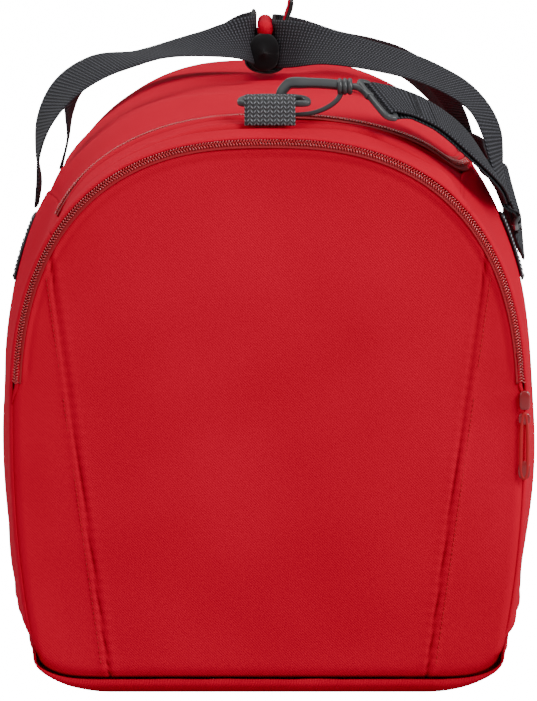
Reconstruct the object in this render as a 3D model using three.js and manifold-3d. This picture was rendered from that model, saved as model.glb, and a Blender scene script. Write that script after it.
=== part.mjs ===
// A hockey equipment bag: a soft duffel with a lid that hinges along its left shoulder, a zipped flap at
// each end, two carry handles that meet in a grip, and a shoulder strap on snap hooks.
// Frame: millimetres, +X right, +Y from the front end to the rear end, +Z up, origin under the middle of
// the base. The rear end is the front end mirrored, so most pieces are made once and used twice.
import * as THREE from 'three'
import { mergeVertices } from 'three/addons/utils/BufferGeometryUtils.js'
import Module from 'manifold-3d'

// ---- The shell ----
const END_PLANE = 376 // outer face of each end panel
const HALF_WIDTH = 200 // at the widest, SHOULDER_Z above the floor
const HEIGHT = 428
const SHOULDER_Z = 200
const DOME_POWER = 2.5 // the dome is a superellipse of this power
const SIDE_TUCK = 0.1146 // how far the sides pull in towards the base
const SIDE_POWER = 2.28
const END_HALF_WIDTH = 186
const END_HEIGHT = 404
const TAPER_START = 230 // the ends begin to draw in here
const TAPER_POWER = 1.2
const WALL = 2.4
const GAP = 0.4 // between the two sides of a zip or a seam
const PANEL_GAP = 2 // between a panel of the dome and its zip

// ---- The base ----
const BASE_FLAT = 118 // half-width of the flat bottom
const BASE_EDGE = 181 // half-width at the side seam
const BASE_RISE = 31 // height of the side seam
const BASE_CLEARANCE = 5.4 // from the base's outer face up to the end panel's lower edge
const END_CURL = 12 // radius of the rolled edge at each end

// ---- The lid and its zip ----
const HINGE_X = 168 // the lid's left edge, and the left end of its zip
const LID_RIGHT_X = 150
const LID_HALF_LENGTH = 315
const LID_CORNER = 85 // plan radius of the lid's right corners
const ZIP_HALF = 6 // width of one side of a zip

// ---- The end flaps ----
const FOLD_Z = 228 // the flap folds outwards here
const ZIP_INSET = 4 // the end zip's line, inside the rim
const FLAP_INSET = 9.4 // the flap's own cloth
const SEAM_FOOT = 114.7 // half-width between the slanting seams, SEAM_FOOT_Z above the floor
const SEAM_FOOT_Z = 15
const SEAM_SLOPE = 0.135
const DIVIDER_Y = 322

// ---- Webbing and hardware ----
const WEBBING = 38
const WEBBING_THICK = 2
const HANDLE_Y = 190 // the handles are sewn on this far from the middle
const PATCH_LOW_Z = 284
const PATCH_TOP_Z = 332

const finish = (colour, roughness, metalness = 0) =>
  new THREE.MeshStandardMaterial({ color: colour, roughness, metalness })
const RED_CLOTH = () => finish(0xb5192a, 0.8)
const RED_ZIP = () => finish(0xc62a3c, 0.5)
const CHARCOAL_WEBBING = () => finish(0x303036, 0.85)
const WOVEN_PATCH = () => finish(0x4a4e58, 0.8)
const BLACK_PADDING = () => finish(0x0c0c0f, 0.9)
const GREY_PLASTIC = () => finish(0x3c3e42, 0.45)

const bag = new THREE.Group()

function add(name, geometry, material) {
  const mesh = new THREE.Mesh(geometry, material)
  mesh.name = name
  bag.add(mesh)
}

// The same piece at the other end of the bag: mirrored in Y, with its faces turned to point out again.
function mirrored(geometry) {
  const copy = geometry.clone().applyMatrix4(new THREE.Matrix4().makeScale(1, -1, 1))
  return turnedInsideOut(copy)
}

function turnedInsideOut(geometry) {
  const order = geometry.index ? geometry.index.array : geometry.attributes.position.array
  const step = geometry.index ? 1 : 3
  for (let k = 0; k < order.length; k += 3 * step) {
    for (let i = 0; i < step; i++) {
      const kept = order[k + i]
      order[k + i] = order[k + step + i]
      order[k + step + i] = kept
    }
  }
  return geometry
}

function addBothEnds(name, geometry, material) {
  add(`front_${name}`, geometry, material())
  add(`rear_${name}`, mirrored(geometry), material())
}

// ---- Solids from grids of points ----

// A closed slab between two grids of points with the same rows and columns.
function slab(outer, inner) {
  const rows = outer.length
  const columns = outer[0].length
  const position = [...outer.flat(), ...inner.flat()].flatMap((p) => [p.x, p.y, p.z])
  const at = (layer, i, j) => (layer * rows + i) * columns + j
  const index = []
  const quad = (a, b, c, d) => index.push(a, b, c, a, c, d)
  for (let i = 0; i + 1 < rows; i++) {
    for (let j = 0; j + 1 < columns; j++) {
      quad(at(0, i, j), at(0, i + 1, j), at(0, i + 1, j + 1), at(0, i, j + 1))
      quad(at(1, i, j), at(1, i, j + 1), at(1, i + 1, j + 1), at(1, i + 1, j))
    }
  }
  const last = columns - 1
  for (let i = 0; i + 1 < rows; i++) {
    quad(at(0, i, 0), at(1, i, 0), at(1, i + 1, 0), at(0, i + 1, 0))
    quad(at(0, i, last), at(0, i + 1, last), at(1, i + 1, last), at(1, i, last))
  }
  for (let j = 0; j < last; j++) {
    quad(at(0, 0, j), at(0, 0, j + 1), at(1, 0, j + 1), at(1, 0, j))
    quad(at(0, rows - 1, j), at(1, rows - 1, j), at(1, rows - 1, j + 1), at(0, rows - 1, j + 1))
  }
  const geometry = new THREE.BufferGeometry()
  geometry.setAttribute('position', new THREE.Float32BufferAttribute(position, 3))
  geometry.setIndex(index)
  return volume(geometry) < 0 ? turnedInsideOut(geometry) : geometry
}

function volume(geometry) {
  const p = geometry.attributes.position
  const corner = (k) => new THREE.Vector3().fromBufferAttribute(p, geometry.index.getX(k))
  let sum = 0
  for (let k = 0; k < geometry.index.count; k += 3) {
    sum += corner(k).dot(corner(k + 1).cross(corner(k + 2))) / 6
  }
  return sum
}

function range(from, to, steps) {
  return Array.from({ length: steps + 1 }, (_, i) => from + ((to - from) * i) / steps)
}

// Outward normals of a grid of points, from the differences between neighbours; `outwards` picks the side.
function gridNormals(grid, outwards) {
  return grid.map((row, i) =>
    row.map((p, j) => {
      const along = grid[Math.min(i + 1, grid.length - 1)][j].clone().sub(grid[Math.max(i - 1, 0)][j])
      const across = row[Math.min(j + 1, row.length - 1)].clone().sub(row[Math.max(j - 1, 0)])
      const normal = along.cross(across).normalize()
      return normal.dot(outwards(p)) < 0 ? normal.negate() : normal
    })
  )
}

// A sheet of cloth on a grid of points: from `lift` outside it to `thick` further in.
function sheet(grid, outwards, lift = 0, thick = WALL) {
  const normals = gridNormals(grid, outwards)
  const shifted = (d) => grid.map((row, i) => row.map((p, j) => p.clone().addScaledVector(normals[i][j], d)))
  return slab(shifted(lift), shifted(lift - thick))
}

// ---- The body's outline ----

// The right half of the middle section from the top centre down to the side seam, as {s, x, z}, where s
// is the distance along the cloth.
function outlineTable() {
  const table = [{ s: 0, x: 0, z: HEIGHT }]
  const append = (x, z) => {
    const last = table[table.length - 1]
    table.push({ s: last.s + Math.hypot(x - last.x, z - last.z), x, z })
  }
  for (const turn of range(0, Math.PI / 2, 200).slice(1)) {
    const x = Math.sin(turn) ** (2 / DOME_POWER)
    const z = Math.max(Math.cos(turn), 0) ** (2 / DOME_POWER)
    append(x * HALF_WIDTH, SHOULDER_Z + z * (HEIGHT - SHOULDER_Z))
  }
  for (const drop of range(0, SHOULDER_Z - BASE_RISE, 40).slice(1)) {
    append(sideHalfWidth(drop), SHOULDER_Z - drop)
  }
  return table
}

function sideHalfWidth(drop) {
  return HALF_WIDTH * (1 - SIDE_TUCK * (drop / SHOULDER_Z) ** SIDE_POWER)
}

const OUTLINE = outlineTable()

function lookUp(key, value) {
  const rising = OUTLINE[OUTLINE.length - 1][key] > OUTLINE[0][key]
  const next = OUTLINE.findIndex((row) => (rising ? row[key] >= value : row[key] <= value))
  const b = OUTLINE[Math.max(next, 1)]
  const a = OUTLINE[Math.max(next, 1) - 1]
  const share = (value - a[key]) / (b[key] - a[key])
  return { s: a.s + share * (b.s - a.s), x: a.x + share * (b.x - a.x), z: a.z + share * (b.z - a.z) }
}

function clothDistance(z) {
  return lookUp('z', z).s
}

function clothDistanceAtX(x) {
  return OUTLINE.find((row) => row.x >= x).s
}

function taper(y) {
  const share = Math.max(0, (Math.abs(y) - TAPER_START) / (END_PLANE - TAPER_START))
  return Math.min(share, 1) ** TAPER_POWER
}

// The point of the shell at cloth distance s from the top centre (+ to the right) and at length y.
function onBody(s, y) {
  const middle = lookUp('s', Math.abs(s))
  const wide = 1 - taper(y) * (1 - END_HALF_WIDTH / HALF_WIDTH)
  const high = 1 - taper(y) * (1 - (END_HEIGHT - SHOULDER_Z) / (HEIGHT - SHOULDER_Z))
  const above = middle.z - SHOULDER_Z
  return new THREE.Vector3(
    Math.sign(s) * middle.x * wide,
    y,
    SHOULDER_Z + above * (above > 0 ? high : 1)
  )
}

const fromAxis = (p) => new THREE.Vector3(p.x, 0, p.z - SHOULDER_Z)

// A sheet on the shell, from a grid of [s, y] pairs.
function shellSheet(pairs, lift, thick) {
  return sheet(pairs.map((row) => row.map(([s, y]) => onBody(s, y))), fromAxis, lift, thick)
}

const S_HINGE = clothDistanceAtX(HINGE_X)
const S_RIGHT = clothDistanceAtX(LID_RIGHT_X)
const S_SEAM = clothDistance(BASE_RISE + 2.6)

// ---- The lid, its zip and the fixed cloth round it ----

// Half the lid's length at cloth distance s, for the zip's line moved outwards by `offset`.
function lidHalfLength(s, offset) {
  const straight = S_RIGHT - LID_CORNER
  if (s <= straight) {
    return LID_HALF_LENGTH + offset
  }
  const radius = LID_CORNER + offset
  const beyond = Math.min(s - straight, radius)
  return LID_HALF_LENGTH - LID_CORNER + Math.sqrt(radius * radius - beyond * beyond)
}

// Cloth distances from the hinge to the right edge, closer together round the plan corner.
function lidStations(offset) {
  const corner = S_RIGHT - LID_CORNER
  const radius = LID_CORNER + offset
  const straight = range(-S_HINGE, corner, 12)
  return [...straight, ...range(0, Math.PI / 2, 6).slice(1).map((turn) => corner + radius * Math.sin(turn))]
}

function lidPanel() {
  const offset = -(ZIP_HALF + PANEL_GAP)
  const row = (s) => range(-1, 1, 8).map((v) => [s, v * lidHalfLength(s, offset)])
  return shellSheet(lidStations(offset).map(row))
}

// The lid zip's line in (s, y), offset outwards: from the hinge at the front, round the right side, to the
// hinge at the rear.
function lidZipLine(offset) {
  const front = lidStations(offset).map((s) => [s, -lidHalfLength(s, offset)])
  const straight = LID_HALF_LENGTH - LID_CORNER
  const middle = range(-1, 1, 6).slice(1, -1).map((v) => [S_RIGHT + offset, v * straight])
  const rear = [...front].reverse().map(([s, y]) => [s, -y])
  return [...front, ...middle, ...rear]
}

function lidZipSide(from, to) {
  const near = lidZipLine(from)
  const far = lidZipLine(to)
  return shellSheet(near.map((pair, i) => [pair, far[i]]), -0.2, 2)
}

function endGusset() {
  const offset = ZIP_HALF + PANEL_GAP
  const stations = lidStations(offset)
  const edge = END_PLANE - WALL - 1
  const row = (s) => range(0, 1, 3).map((v) => [s, -edge + v * (edge - lidHalfLength(s, offset))])
  return shellSheet(stations.map(row))
}

function sidePanel(side, top) {
  const ends = END_PLANE - WALL - 1
  return shellSheet(range(top, S_SEAM, 10).map((s) => range(-ends, ends, 14).map((y) => [side * s, y])))
}

// ---- The base: flat in the middle, turned up along its sides and rolled at its ends ----

function basePoint(u, v) {
  const across = Math.abs(u) * BASE_EDGE
  const share = Math.max(0, (across - BASE_FLAT) / (BASE_EDGE - BASE_FLAT))
  const sideRise = BASE_RISE * (1 - Math.sqrt(1 - share * share))
  const curl = Math.max(0, Math.abs(v) - 1) * (Math.PI / 2)
  const flatHalf = END_PLANE - END_CURL
  const y = Math.sign(v) * (Math.min(Math.abs(v), 1) * flatHalf + END_CURL * Math.sin(curl))
  const endRise = END_CURL * (1 - Math.cos(curl))
  const wide = 1 - taper(y) * (1 - END_HALF_WIDTH / HALF_WIDTH)
  return new THREE.Vector3(Math.sign(u) * across * wide, y, Math.hypot(sideRise, endRise))
}

function basePanel() {
  const turnedUp = [0.76, 0.84, 0.92, 0.97, 1]
  const right = [0.3, BASE_FLAT / BASE_EDGE, ...turnedUp]
  const across = [...right.map((u) => -u).reverse(), 0, ...right]
  const curl = [1, 1.35, 1.7, 2]
  const along = [...curl.map((v) => -v).reverse(), -0.62, 0, 0.62, ...curl]
  const grid = across.map((u) => along.map((v) => basePoint(u, v)))
  return sheet(grid, (p) => new THREE.Vector3(0, 0, -1).addScaledVector(p, 0.001))
}

// ---- The end panels: flat shapes in X and Z ----

function endHalfWidth(z, inset) {
  const wide = END_HALF_WIDTH / HALF_WIDTH
  if (z <= SHOULDER_Z) {
    return sideHalfWidth(SHOULDER_Z - z) * wide - inset
  }
  const share = (z - SHOULDER_Z) / (END_HEIGHT - SHOULDER_Z - inset)
  return (END_HALF_WIDTH - inset) * Math.max(0, 1 - share ** DOME_POWER) ** (1 / DOME_POWER)
}

// The rim of the end from height zFrom on the right, over the top, to zFrom on the left, moved in by inset.
function endArch(inset, zFrom) {
  const width = END_HALF_WIDTH - inset
  const rise = END_HEIGHT - SHOULDER_Z - inset
  const start = Math.asin(((zFrom - SHOULDER_Z) / rise) ** (DOME_POWER / 2))
  return range(start, Math.PI - start, 28).map((turn) => [
    Math.sign(Math.cos(turn)) * width * Math.abs(Math.cos(turn)) ** (2 / DOME_POWER),
    SHOULDER_Z + rise * Math.sin(turn) ** (2 / DOME_POWER),
  ])
}

// The outline below zTo: down the right side, along the base and up the left side.
function endFoot(inset, zTo, lift) {
  const rows = range(0, 1, 8).map((share) => zTo + (BASE_RISE + 4 + inset - zTo) * share)
  const right = rows.map((z) => [endHalfWidth(z, inset), z])
  const wide = END_HALF_WIDTH / HALF_WIDTH
  const floor = [1, 0.97, 0.92, 0.84, 0.76, BASE_FLAT / BASE_EDGE, 0].map((u) => [
    u * (BASE_EDGE * wide - inset),
    basePoint(u, 2).z + lift,
  ])
  const half = [...right, ...floor]
  return [...half, ...half.slice(0, -1).reverse().map(([x, z]) => [-x, z])]
}

// The part of a closed outline where inside(point) is above zero; inside changes evenly along each edge.
function clipped(points, inside) {
  return points.flatMap((a, i) => {
    const b = points[(i + 1) % points.length]
    const [ga, gb] = [inside(a), inside(b)]
    const kept = ga > 0 ? [a] : []
    if (ga > 0 !== gb > 0) {
      const share = ga / (ga - gb)
      kept.push([a[0] + share * (b[0] - a[0]), a[1] + share * (b[1] - a[1])])
    }
    return kept
  })
}

function seamHalfWidth(z) {
  return SEAM_FOOT + (z - SEAM_FOOT_Z) * SEAM_SLOPE
}

// A flat sheet with this outline in X and Z, with its outer face yFace from the middle.
function endSheet(points, yFace, thick = WALL) {
  const shape = new THREE.Shape(points.map(([x, z]) => new THREE.Vector2(x, z)))
  const geometry = new THREE.ExtrudeGeometry(shape, { depth: thick, bevelEnabled: false })
  return geometry.rotateX(Math.PI / 2).translate(0, -yFace + thick, 0)
}

function addEndPanels(prefix, outline) {
  const centre = clipped(
    clipped(outline, ([x, z]) => seamHalfWidth(z) - GAP / 2 - x),
    ([x, z]) => seamHalfWidth(z) - GAP / 2 + x
  )
  addBothEnds(`${prefix}_panel`, endSheet(centre, END_PLANE), RED_CLOTH)
  for (const [side, sign] of [['left', -1], ['right', 1]]) {
    const gore = clipped(outline, ([x, z]) => sign * x - seamHalfWidth(z) - GAP / 2)
    addBothEnds(`${prefix}_${side}_gore`, endSheet(gore, END_PLANE), RED_CLOTH)
  }
}

function endZipSide(from, to) {
  return endSheet([...endArch(from, FOLD_Z + GAP), ...endArch(to, FOLD_Z + GAP).reverse()], END_PLANE, 2)
}

function divider() {
  return endSheet([...endArch(10, SHOULDER_Z + 20), ...endFoot(10, SHOULDER_Z + 18, 8).reverse()], DIVIDER_Y)
}

// ---- Webbing: a flat band along a path, given as points and the directions across the band ----

function band(points, across, { steps = 40, width = WEBBING, shift = 0, to = 1 } = {}) {
  const path = new THREE.CatmullRomCurve3(points.map((p) => new THREE.Vector3(...p)), false, 'centripetal')
  const sides = new THREE.CatmullRomCurve3(across.map((p) => new THREE.Vector3(...p)))
  const sections = range(0, to, steps).map((t) => {
    const centre = path.getPoint(t)
    const along = path.getTangent(t)
    const side = sides.getPoint(t)
    side.addScaledVector(along, -side.dot(along)).normalize()
    const face = new THREE.Vector3().crossVectors(along, side)
    centre.addScaledVector(face, shift)
    const corner = (w, h) => {
      const edge = centre.clone().addScaledVector(side, (w * width) / 2)
      return edge.addScaledVector(face, (h * WEBBING_THICK) / 2)
    }
    return { outer: [corner(-1, 1), corner(1, 1)], inner: [corner(-1, -1), corner(1, -1)] }
  })
  return slab(sections.map((s) => s.outer), sections.map((s) => s.inner))
}

const flipped = (points) => [...points].reverse().map(([x, y, z]) => [x, -y, z])
const thereAndBack = (points) => [...points, ...flipped(points)]

const LEFT_HANDLE = {
  points: [
    [-180, -190, 339],
    [-187, -190, 368],
    [-179, -185, 406],
    [-152, -168, 436],
    [-110, -140, 455],
    [-70, -112, 464],
    [-35, -86, 467],
    [-12, -62, 466],
    [-12, -30, 466],
  ],
  across: [
    [0, 1, 0],
    [0.05, 1, 0],
    [-0.2, 0.9, 0.3],
    [-0.3, 0.75, 0.55],
    [-0.15, 0.8, 0.4],
    [-0.1, 0.7, 0.5],
    [0, 0.35, 0.93],
    [0, 0, 1],
    [0, 0, 1],
  ],
}
const RIGHT_HANDLE = {
  points: [
    [186, -190, 338],
    [190, -190, 352],
    [190, -190, 368],
    [183, -186, 392],
    [162, -172, 420],
    [128, -150, 442],
    [90, -125, 454],
    [50, -98, 460],
    [20, -76, 456],
    [5, -56, 455],
    [5, -28, 455],
  ],
  across: [
    [0, 1, 0],
    [0.05, 1, 0],
    [0.2, 0.97, 0],
    [0.4, 0.9, 0.1],
    [0.35, 0.85, 0.35],
    [0.25, 0.7, 0.6],
    [0.15, 0.5, 0.85],
    [0.1, 0.3, 0.95],
    [0, 0.1, 1],
    [0, 0, 1],
    [0, 0, 1],
  ],
}

function handle({ points, across }) {
  return band(thereAndBack(points), thereAndBack(across), { steps: 56 })
}

function handlePatch(side) {
  const rows = range(clothDistance(PATCH_TOP_Z), clothDistance(PATCH_LOW_Z), 4)
  const columns = range(-HANDLE_Y - WEBBING / 2, -HANDLE_Y + WEBBING / 2, 2)
  return shellSheet(rows.map((s) => columns.map((y) => [side * s, y])), WEBBING_THICK + GAP, WEBBING_THICK)
}

// ---- The grip: a padded trough on the right handle, and the flap that closes it ----
const GRIP_HALF_LENGTH = 58
const GRIP_WALL = 3
const TROUGH = [
  [-17, 446],
  [-16.5, 439],
  [-12, 434.5],
  [-4, 432.5],
  [5, 433],
  [11, 436.5],
  [13.2, 443],
  [13.8, 464],
]
const FLAP = [
  [13.9, 465.2],
  [14.8, 474],
  [17.4, 482],
  [18.4, 488],
]

// A wall of constant thickness with this profile in X and Z, as long as the grip.
function trough(profile, thick) {
  const lengths = range(-GRIP_HALF_LENGTH, GRIP_HALF_LENGTH, 2)
  const grid = profile.map(([x, z]) => lengths.map((y) => new THREE.Vector3(x, y, z)))
  return sheet(grid, (p) => new THREE.Vector3(p.x + 2, 0, p.z - 485), thick / 2, thick)
}

// ---- The strap: over the right shoulder of the bag and along its side ----
const EYE = new THREE.Vector3(82, -338, 427) // middle of the eye's outer bar
const EYE_BAR = new THREE.Vector3(-0.42, 0.72, 0.5).normalize()
const EYE_AXIS = new THREE.Vector3(0.88, 0.36, -0.3)
EYE_AXIS.addScaledVector(EYE_BAR, -EYE_AXIS.dot(EYE_BAR)).normalize()
const GLIDE_CENTRE = new THREE.Vector3(186, -124, 339) // the adjuster, halfway along a straight stretch
const GLIDE_AXIS = new THREE.Vector3(3, 30, -9).normalize()
const GLIDE_ACROSS = [-0.28, 0, 0.96]
const STRAIGHT = [-32, -10, 10, 32, 56]

function onStraight(distance) {
  return GLIDE_CENTRE.clone().addScaledVector(GLIDE_AXIS, distance).toArray()
}

const fromEye = (distance) => EYE.clone().addScaledVector(EYE_AXIS, distance).toArray()

const STRAP_FRONT = {
  points: [
    fromEye(5),
    fromEye(16),
    [116, -319, 415],
    [139, -303, 397],
    [159, -274, 375],
    [167, -232, 360],
    [168.5, -200, 358],
    [171.5, -178, 355],
  ],
  across: [
    EYE_BAR.toArray(),
    EYE_BAR.toArray(),
    [-0.35, 0.74, 0.55],
    [-0.3, 0.68, 0.65],
    [-0.5, 0.4, 0.78],
    [-0.56, 0.05, 0.83],
    [-0.5, 0, 0.86],
    [-0.45, 0, 0.89],
  ],
}
const STRAP_SIDE = {
  points: [...STRAIGHT.map(onStraight), [196, -60, 312], [201.5, -28, 301]],
  across: [...STRAIGHT.map(() => GLIDE_ACROSS), [-0.2, 0, 0.98], [-0.1, 0, 1]],
}

const strapHalf = (key) => [...STRAP_FRONT[key], ...STRAP_SIDE[key]]
const STRAP = { points: thereAndBack(strapHalf('points')), across: thereAndBack(strapHalf('across')) }

function strap() {
  return band(STRAP.points, STRAP.across, { steps: 88 })
}

// An end of the strap folded back over its outer face, as far as point number `count` of its path.
function strapReturn(count) {
  const to = count / (STRAP.points.length - 1)
  return band(STRAP.points, STRAP.across, { steps: Math.round(4 * count), shift: 3.1, to })
}

// ---- Solids joined by booleans ----
const wasm = await Module()
wasm.setup()

function solid(geometry) {
  const bare = geometry.clone()
  bare.deleteAttribute('normal')
  bare.deleteAttribute('uv')
  const merged = mergeVertices(bare)
  return new wasm.Manifold(
    new wasm.Mesh({
      numProp: 3,
      vertProperties: new Float32Array(merged.attributes.position.array),
      triVerts: new Uint32Array(merged.index.array),
    })
  )
}

function joined(geometries) {
  const mesh = geometries.map(solid).reduce((sum, next) => sum.add(next)).getMesh()
  const geometry = new THREE.BufferGeometry()
  geometry.setAttribute('position', new THREE.Float32BufferAttribute(mesh.vertProperties, 3))
  geometry.setIndex([...mesh.triVerts])
  return geometry
}

const box = (size, centre) => new THREE.BoxGeometry(...size).translate(...centre)

// Places geometry made in its own axes so that its X, Y and Z lie along x, y and their cross product.
function placed(geometry, x, y, origin) {
  const ex = x.clone().normalize()
  const ey = y.clone().addScaledVector(ex, -y.dot(ex)).normalize()
  const ez = new THREE.Vector3().crossVectors(ex, ey)
  return geometry.applyMatrix4(new THREE.Matrix4().makeBasis(ex, ey, ez).setPosition(origin))
}

// A tri-glide: two rails beside the webbing, two outer bars over it and a middle bar behind it.
// Made with X across the webbing, Y along it and Z out of its face.
function triGlide() {
  const halfWidth = WEBBING / 2 + 3.2
  const rail = (sign) => box([4, 30, 8], [sign * halfWidth, 0, 0])
  const bar = (y, z) => box([2 * halfWidth, 5, 2.4], [0, y, z])
  return joined([rail(-1), rail(1), bar(-12.5, 2.8), bar(12.5, 2.8), bar(0, -2.8)])
}

function roundedLoop(points, hole, thick) {
  const shape = new THREE.Shape(points.map((p) => new THREE.Vector2(...p)))
  shape.holes.push(new THREE.Path(hole.map((p) => new THREE.Vector2(...p))))
  return new THREE.ExtrudeGeometry(shape, { depth: thick, bevelEnabled: false }).translate(0, 0, -thick / 2)
}

// Half an oval from (w, 0) to (-w, 0), d deep.
const bow = (w, d, shift) =>
  range(0, Math.PI, 14).map((turn) => [
    shift + w * Math.sign(Math.cos(turn)) * Math.abs(Math.cos(turn)) ** 0.75,
    d * Math.sin(turn) ** 0.75,
  ])

const RING_BAR = new THREE.Vector3(4, -344, 425.5)
const RING_THICK = 4.5

function dRing() {
  const outer = bow(27, 22.5, 0).map(([x, y]) => [x, y - RING_THICK / 2])
  const hole = bow(22.5, 16.5, 0).map(([x, y]) => [x, y + RING_THICK / 2])
  return placed(
    roundedLoop(outer, hole, RING_THICK),
    new THREE.Vector3(1, 0, 0),
    new THREE.Vector3(0, 0.97, 0.2),
    RING_BAR
  )
}

// The webbing loop that holds the ring: up from the cloth, over the ring's bar and down again.
function ringTab() {
  const profile = [
    [-354, 410.4],
    [-351.8, 418],
    [-349.6, 426],
    [-347.6, 429.8],
    [-344.4, 431.3],
    [-341.4, 429.9],
    [-339.6, 426],
    [-338.6, 420],
    [-338, 414],
  ]
  const points = profile.map(([y, z]) => [1, y, z])
  return band(points, points.map(() => [1, 0, 0]), { steps: 20, width: 37 })
}

function tubeAlong(points, halfX, halfY, steps) {
  const path = new THREE.CatmullRomCurve3(points.map((p) => new THREE.Vector3(...p)), false, 'centripetal')
  const turns = range(0, 2 * Math.PI, 8).slice(0, -1)
  const section = new THREE.Shape(
    turns.map((turn) => new THREE.Vector2(halfX * Math.cos(turn), halfY * Math.sin(turn)))
  )
  return new THREE.ExtrudeGeometry(section, { steps, bevelEnabled: false, extrudePath: path })
}

const HOOK_Y = -331
const HOOK_AXIS_Z = 437
const COLLAR_X = [49.5, 60.5]

// The hook: arm, bend and nose in one, with the turned collar that the eye swivels in.
function hookBody() {
  const arm = tubeAlong(
    [
      [COLLAR_X[0] + 2, HOOK_Y, HOOK_AXIS_Z + 1],
      [36, HOOK_Y, 439.5],
      [17, HOOK_Y, 439.5],
      [10.5, HOOK_Y, 435],
      [9, HOOK_Y, 428],
      [10, HOOK_Y, 420.5],
      [13, HOOK_Y, 418],
    ],
    3.2,
    3.2,
    22
  )
  const length = COLLAR_X[1] - COLLAR_X[0]
  const collar = new THREE.CylinderGeometry(6.2, 6.2, length, 16)
    .rotateZ(Math.PI / 2)
    .translate((COLLAR_X[0] + COLLAR_X[1]) / 2, HOOK_Y, HOOK_AXIS_Z)
  return joined([arm, collar])
}

function hookGate() {
  return tubeAlong(
    [
      [50, HOOK_Y, 429],
      [43, HOOK_Y, 422.5],
      [32, HOOK_Y, 418],
      [17.5, HOOK_Y, 416.5],
    ],
    1.8,
    1.8,
    12
  )
}

// The eye: a flat frame for the strap on a short neck in line with the collar.
function hookEye() {
  const outer = [
    [-25, -2.5],
    [25, -2.5],
    [25, 12],
    [-25, 12],
  ]
  const hole = [
    [-20.5, 2.4],
    [20.5, 2.4],
    [20.5, 8],
    [-20.5, 8],
  ]
  const frame = placed(roundedLoop(outer, hole, 4.2), EYE_BAR, EYE_AXIS.clone().negate(), EYE)
  const neck = new THREE.CylinderGeometry(2.4, 2.4, 5, 12).rotateZ(Math.PI / 2)
  neck.translate(COLLAR_X[1] + 3, HOOK_Y, HOOK_AXIS_Z)
  return joined([frame, neck])
}

// ---- Zip sliders and their pulls ----
function slider() {
  return joined([box([8, 3.4, 14], [0, 0, 0]), box([2.4, 1.6, 8], [0, -2, 1])])
}

function endSliderAt(z) {
  const x = endHalfWidth(z, ZIP_INSET - 1.5)
  return [x, -END_PLANE - 2.1, z]
}

const SLIDER_Z = 215

function endPull() {
  const [x, y, z] = endSliderAt(SLIDER_Z)
  return box([9, 1.8, 50], [x, y - 0.3, z - 33])
}

function shoulderPlace(offset, y, lift) {
  const at = onBody(S_RIGHT + offset, y)
  const near = onBody(S_RIGHT + offset - 1, y)
  const across = at.clone().sub(near).normalize()
  const face = new THREE.Vector3(across.z, 0, -across.x).negate()
  return { across, face, at: at.addScaledVector(face, lift) }
}

// A lid slider lies on the fixed side of the zip, and its pull lies along the zip behind it.
function onShoulder(geometry, y) {
  const { across, at } = shoulderPlace(5.6, y, 2.6)
  return placed(geometry, across, new THREE.Vector3(0, 1, 0), at)
}

// ---- The bag, put together ----
add('base_panel', basePanel(), RED_CLOTH())
add('left_side_panel', sidePanel(-1, S_HINGE + 2 * PANEL_GAP), RED_CLOTH())
add('right_side_panel', sidePanel(1, S_RIGHT + ZIP_HALF + 2 * PANEL_GAP), RED_CLOTH())
add('lid_panel', lidPanel(), RED_CLOTH())
add('lid_zip_lid_side', lidZipSide(-ZIP_HALF, -GAP / 2), RED_ZIP())
add('lid_zip_body_side', lidZipSide(GAP / 2, ZIP_HALF), RED_ZIP())
addBothEnds('gusset', endGusset(), RED_CLOTH)
addBothEnds('divider', divider(), RED_CLOTH)
addEndPanels('lower', endFoot(0, FOLD_Z - GAP, BASE_CLEARANCE))
addEndPanels('flap', endArch(FLAP_INSET, FOLD_Z + GAP))
addBothEnds('zip_flap_side', endZipSide(ZIP_INSET + GAP / 2, FLAP_INSET - GAP), RED_ZIP)
addBothEnds('zip_body_side', endZipSide(GAP, ZIP_INSET - GAP / 2), RED_ZIP)

for (const [side, sign] of [['left', -1], ['right', 1]]) {
  addBothEnds(`${side}_handle_patch`, handlePatch(sign), WOVEN_PATCH)
}
add('left_handle', handle(LEFT_HANDLE), CHARCOAL_WEBBING())
add('right_handle', handle(RIGHT_HANDLE), CHARCOAL_WEBBING())
add('grip_wrap', trough(TROUGH, GRIP_WALL), BLACK_PADDING())
add('grip_flap', trough(FLAP, 2.2), BLACK_PADDING())

addBothEnds('ring_tab', ringTab(), CHARCOAL_WEBBING)
addBothEnds('d_ring', dRing(), GREY_PLASTIC)
addBothEnds('hook', hookBody(), GREY_PLASTIC)
addBothEnds('hook_gate', hookGate(), GREY_PLASTIC)
addBothEnds('hook_eye', hookEye(), GREY_PLASTIC)

add('strap', strap(), CHARCOAL_WEBBING())
add('strap_return', strapReturn(STRAP_FRONT.points.length + 0.3), CHARCOAL_WEBBING())
add('strap_end_fold', mirrored(strapReturn(2.6)), CHARCOAL_WEBBING())
const glideAcross = new THREE.Vector3(...GLIDE_ACROSS)
glideAcross.addScaledVector(GLIDE_AXIS, -glideAcross.dot(GLIDE_AXIS)).negate()
add('strap_adjuster', placed(triGlide(), glideAcross, GLIDE_AXIS, GLIDE_CENTRE), GREY_PLASTIC())

addBothEnds('zip_slider', slider().translate(...endSliderAt(SLIDER_Z)), GREY_PLASTIC)
addBothEnds('zip_pull', endPull(), RED_CLOTH)
const lidSlider = joined([box([8, 14, 3.4], [0, 0, 0]), box([2.4, 8, 1.6], [0, 0, 2])])
const lidPull = box([8, 44, 1.8], [0, 32, 1])
addBothEnds('lid_slider', onShoulder(lidSlider, -10), GREY_PLASTIC)
addBothEnds('lid_pull', onShoulder(lidPull.rotateZ(Math.PI), -10), RED_CLOTH)

export default bag
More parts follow.
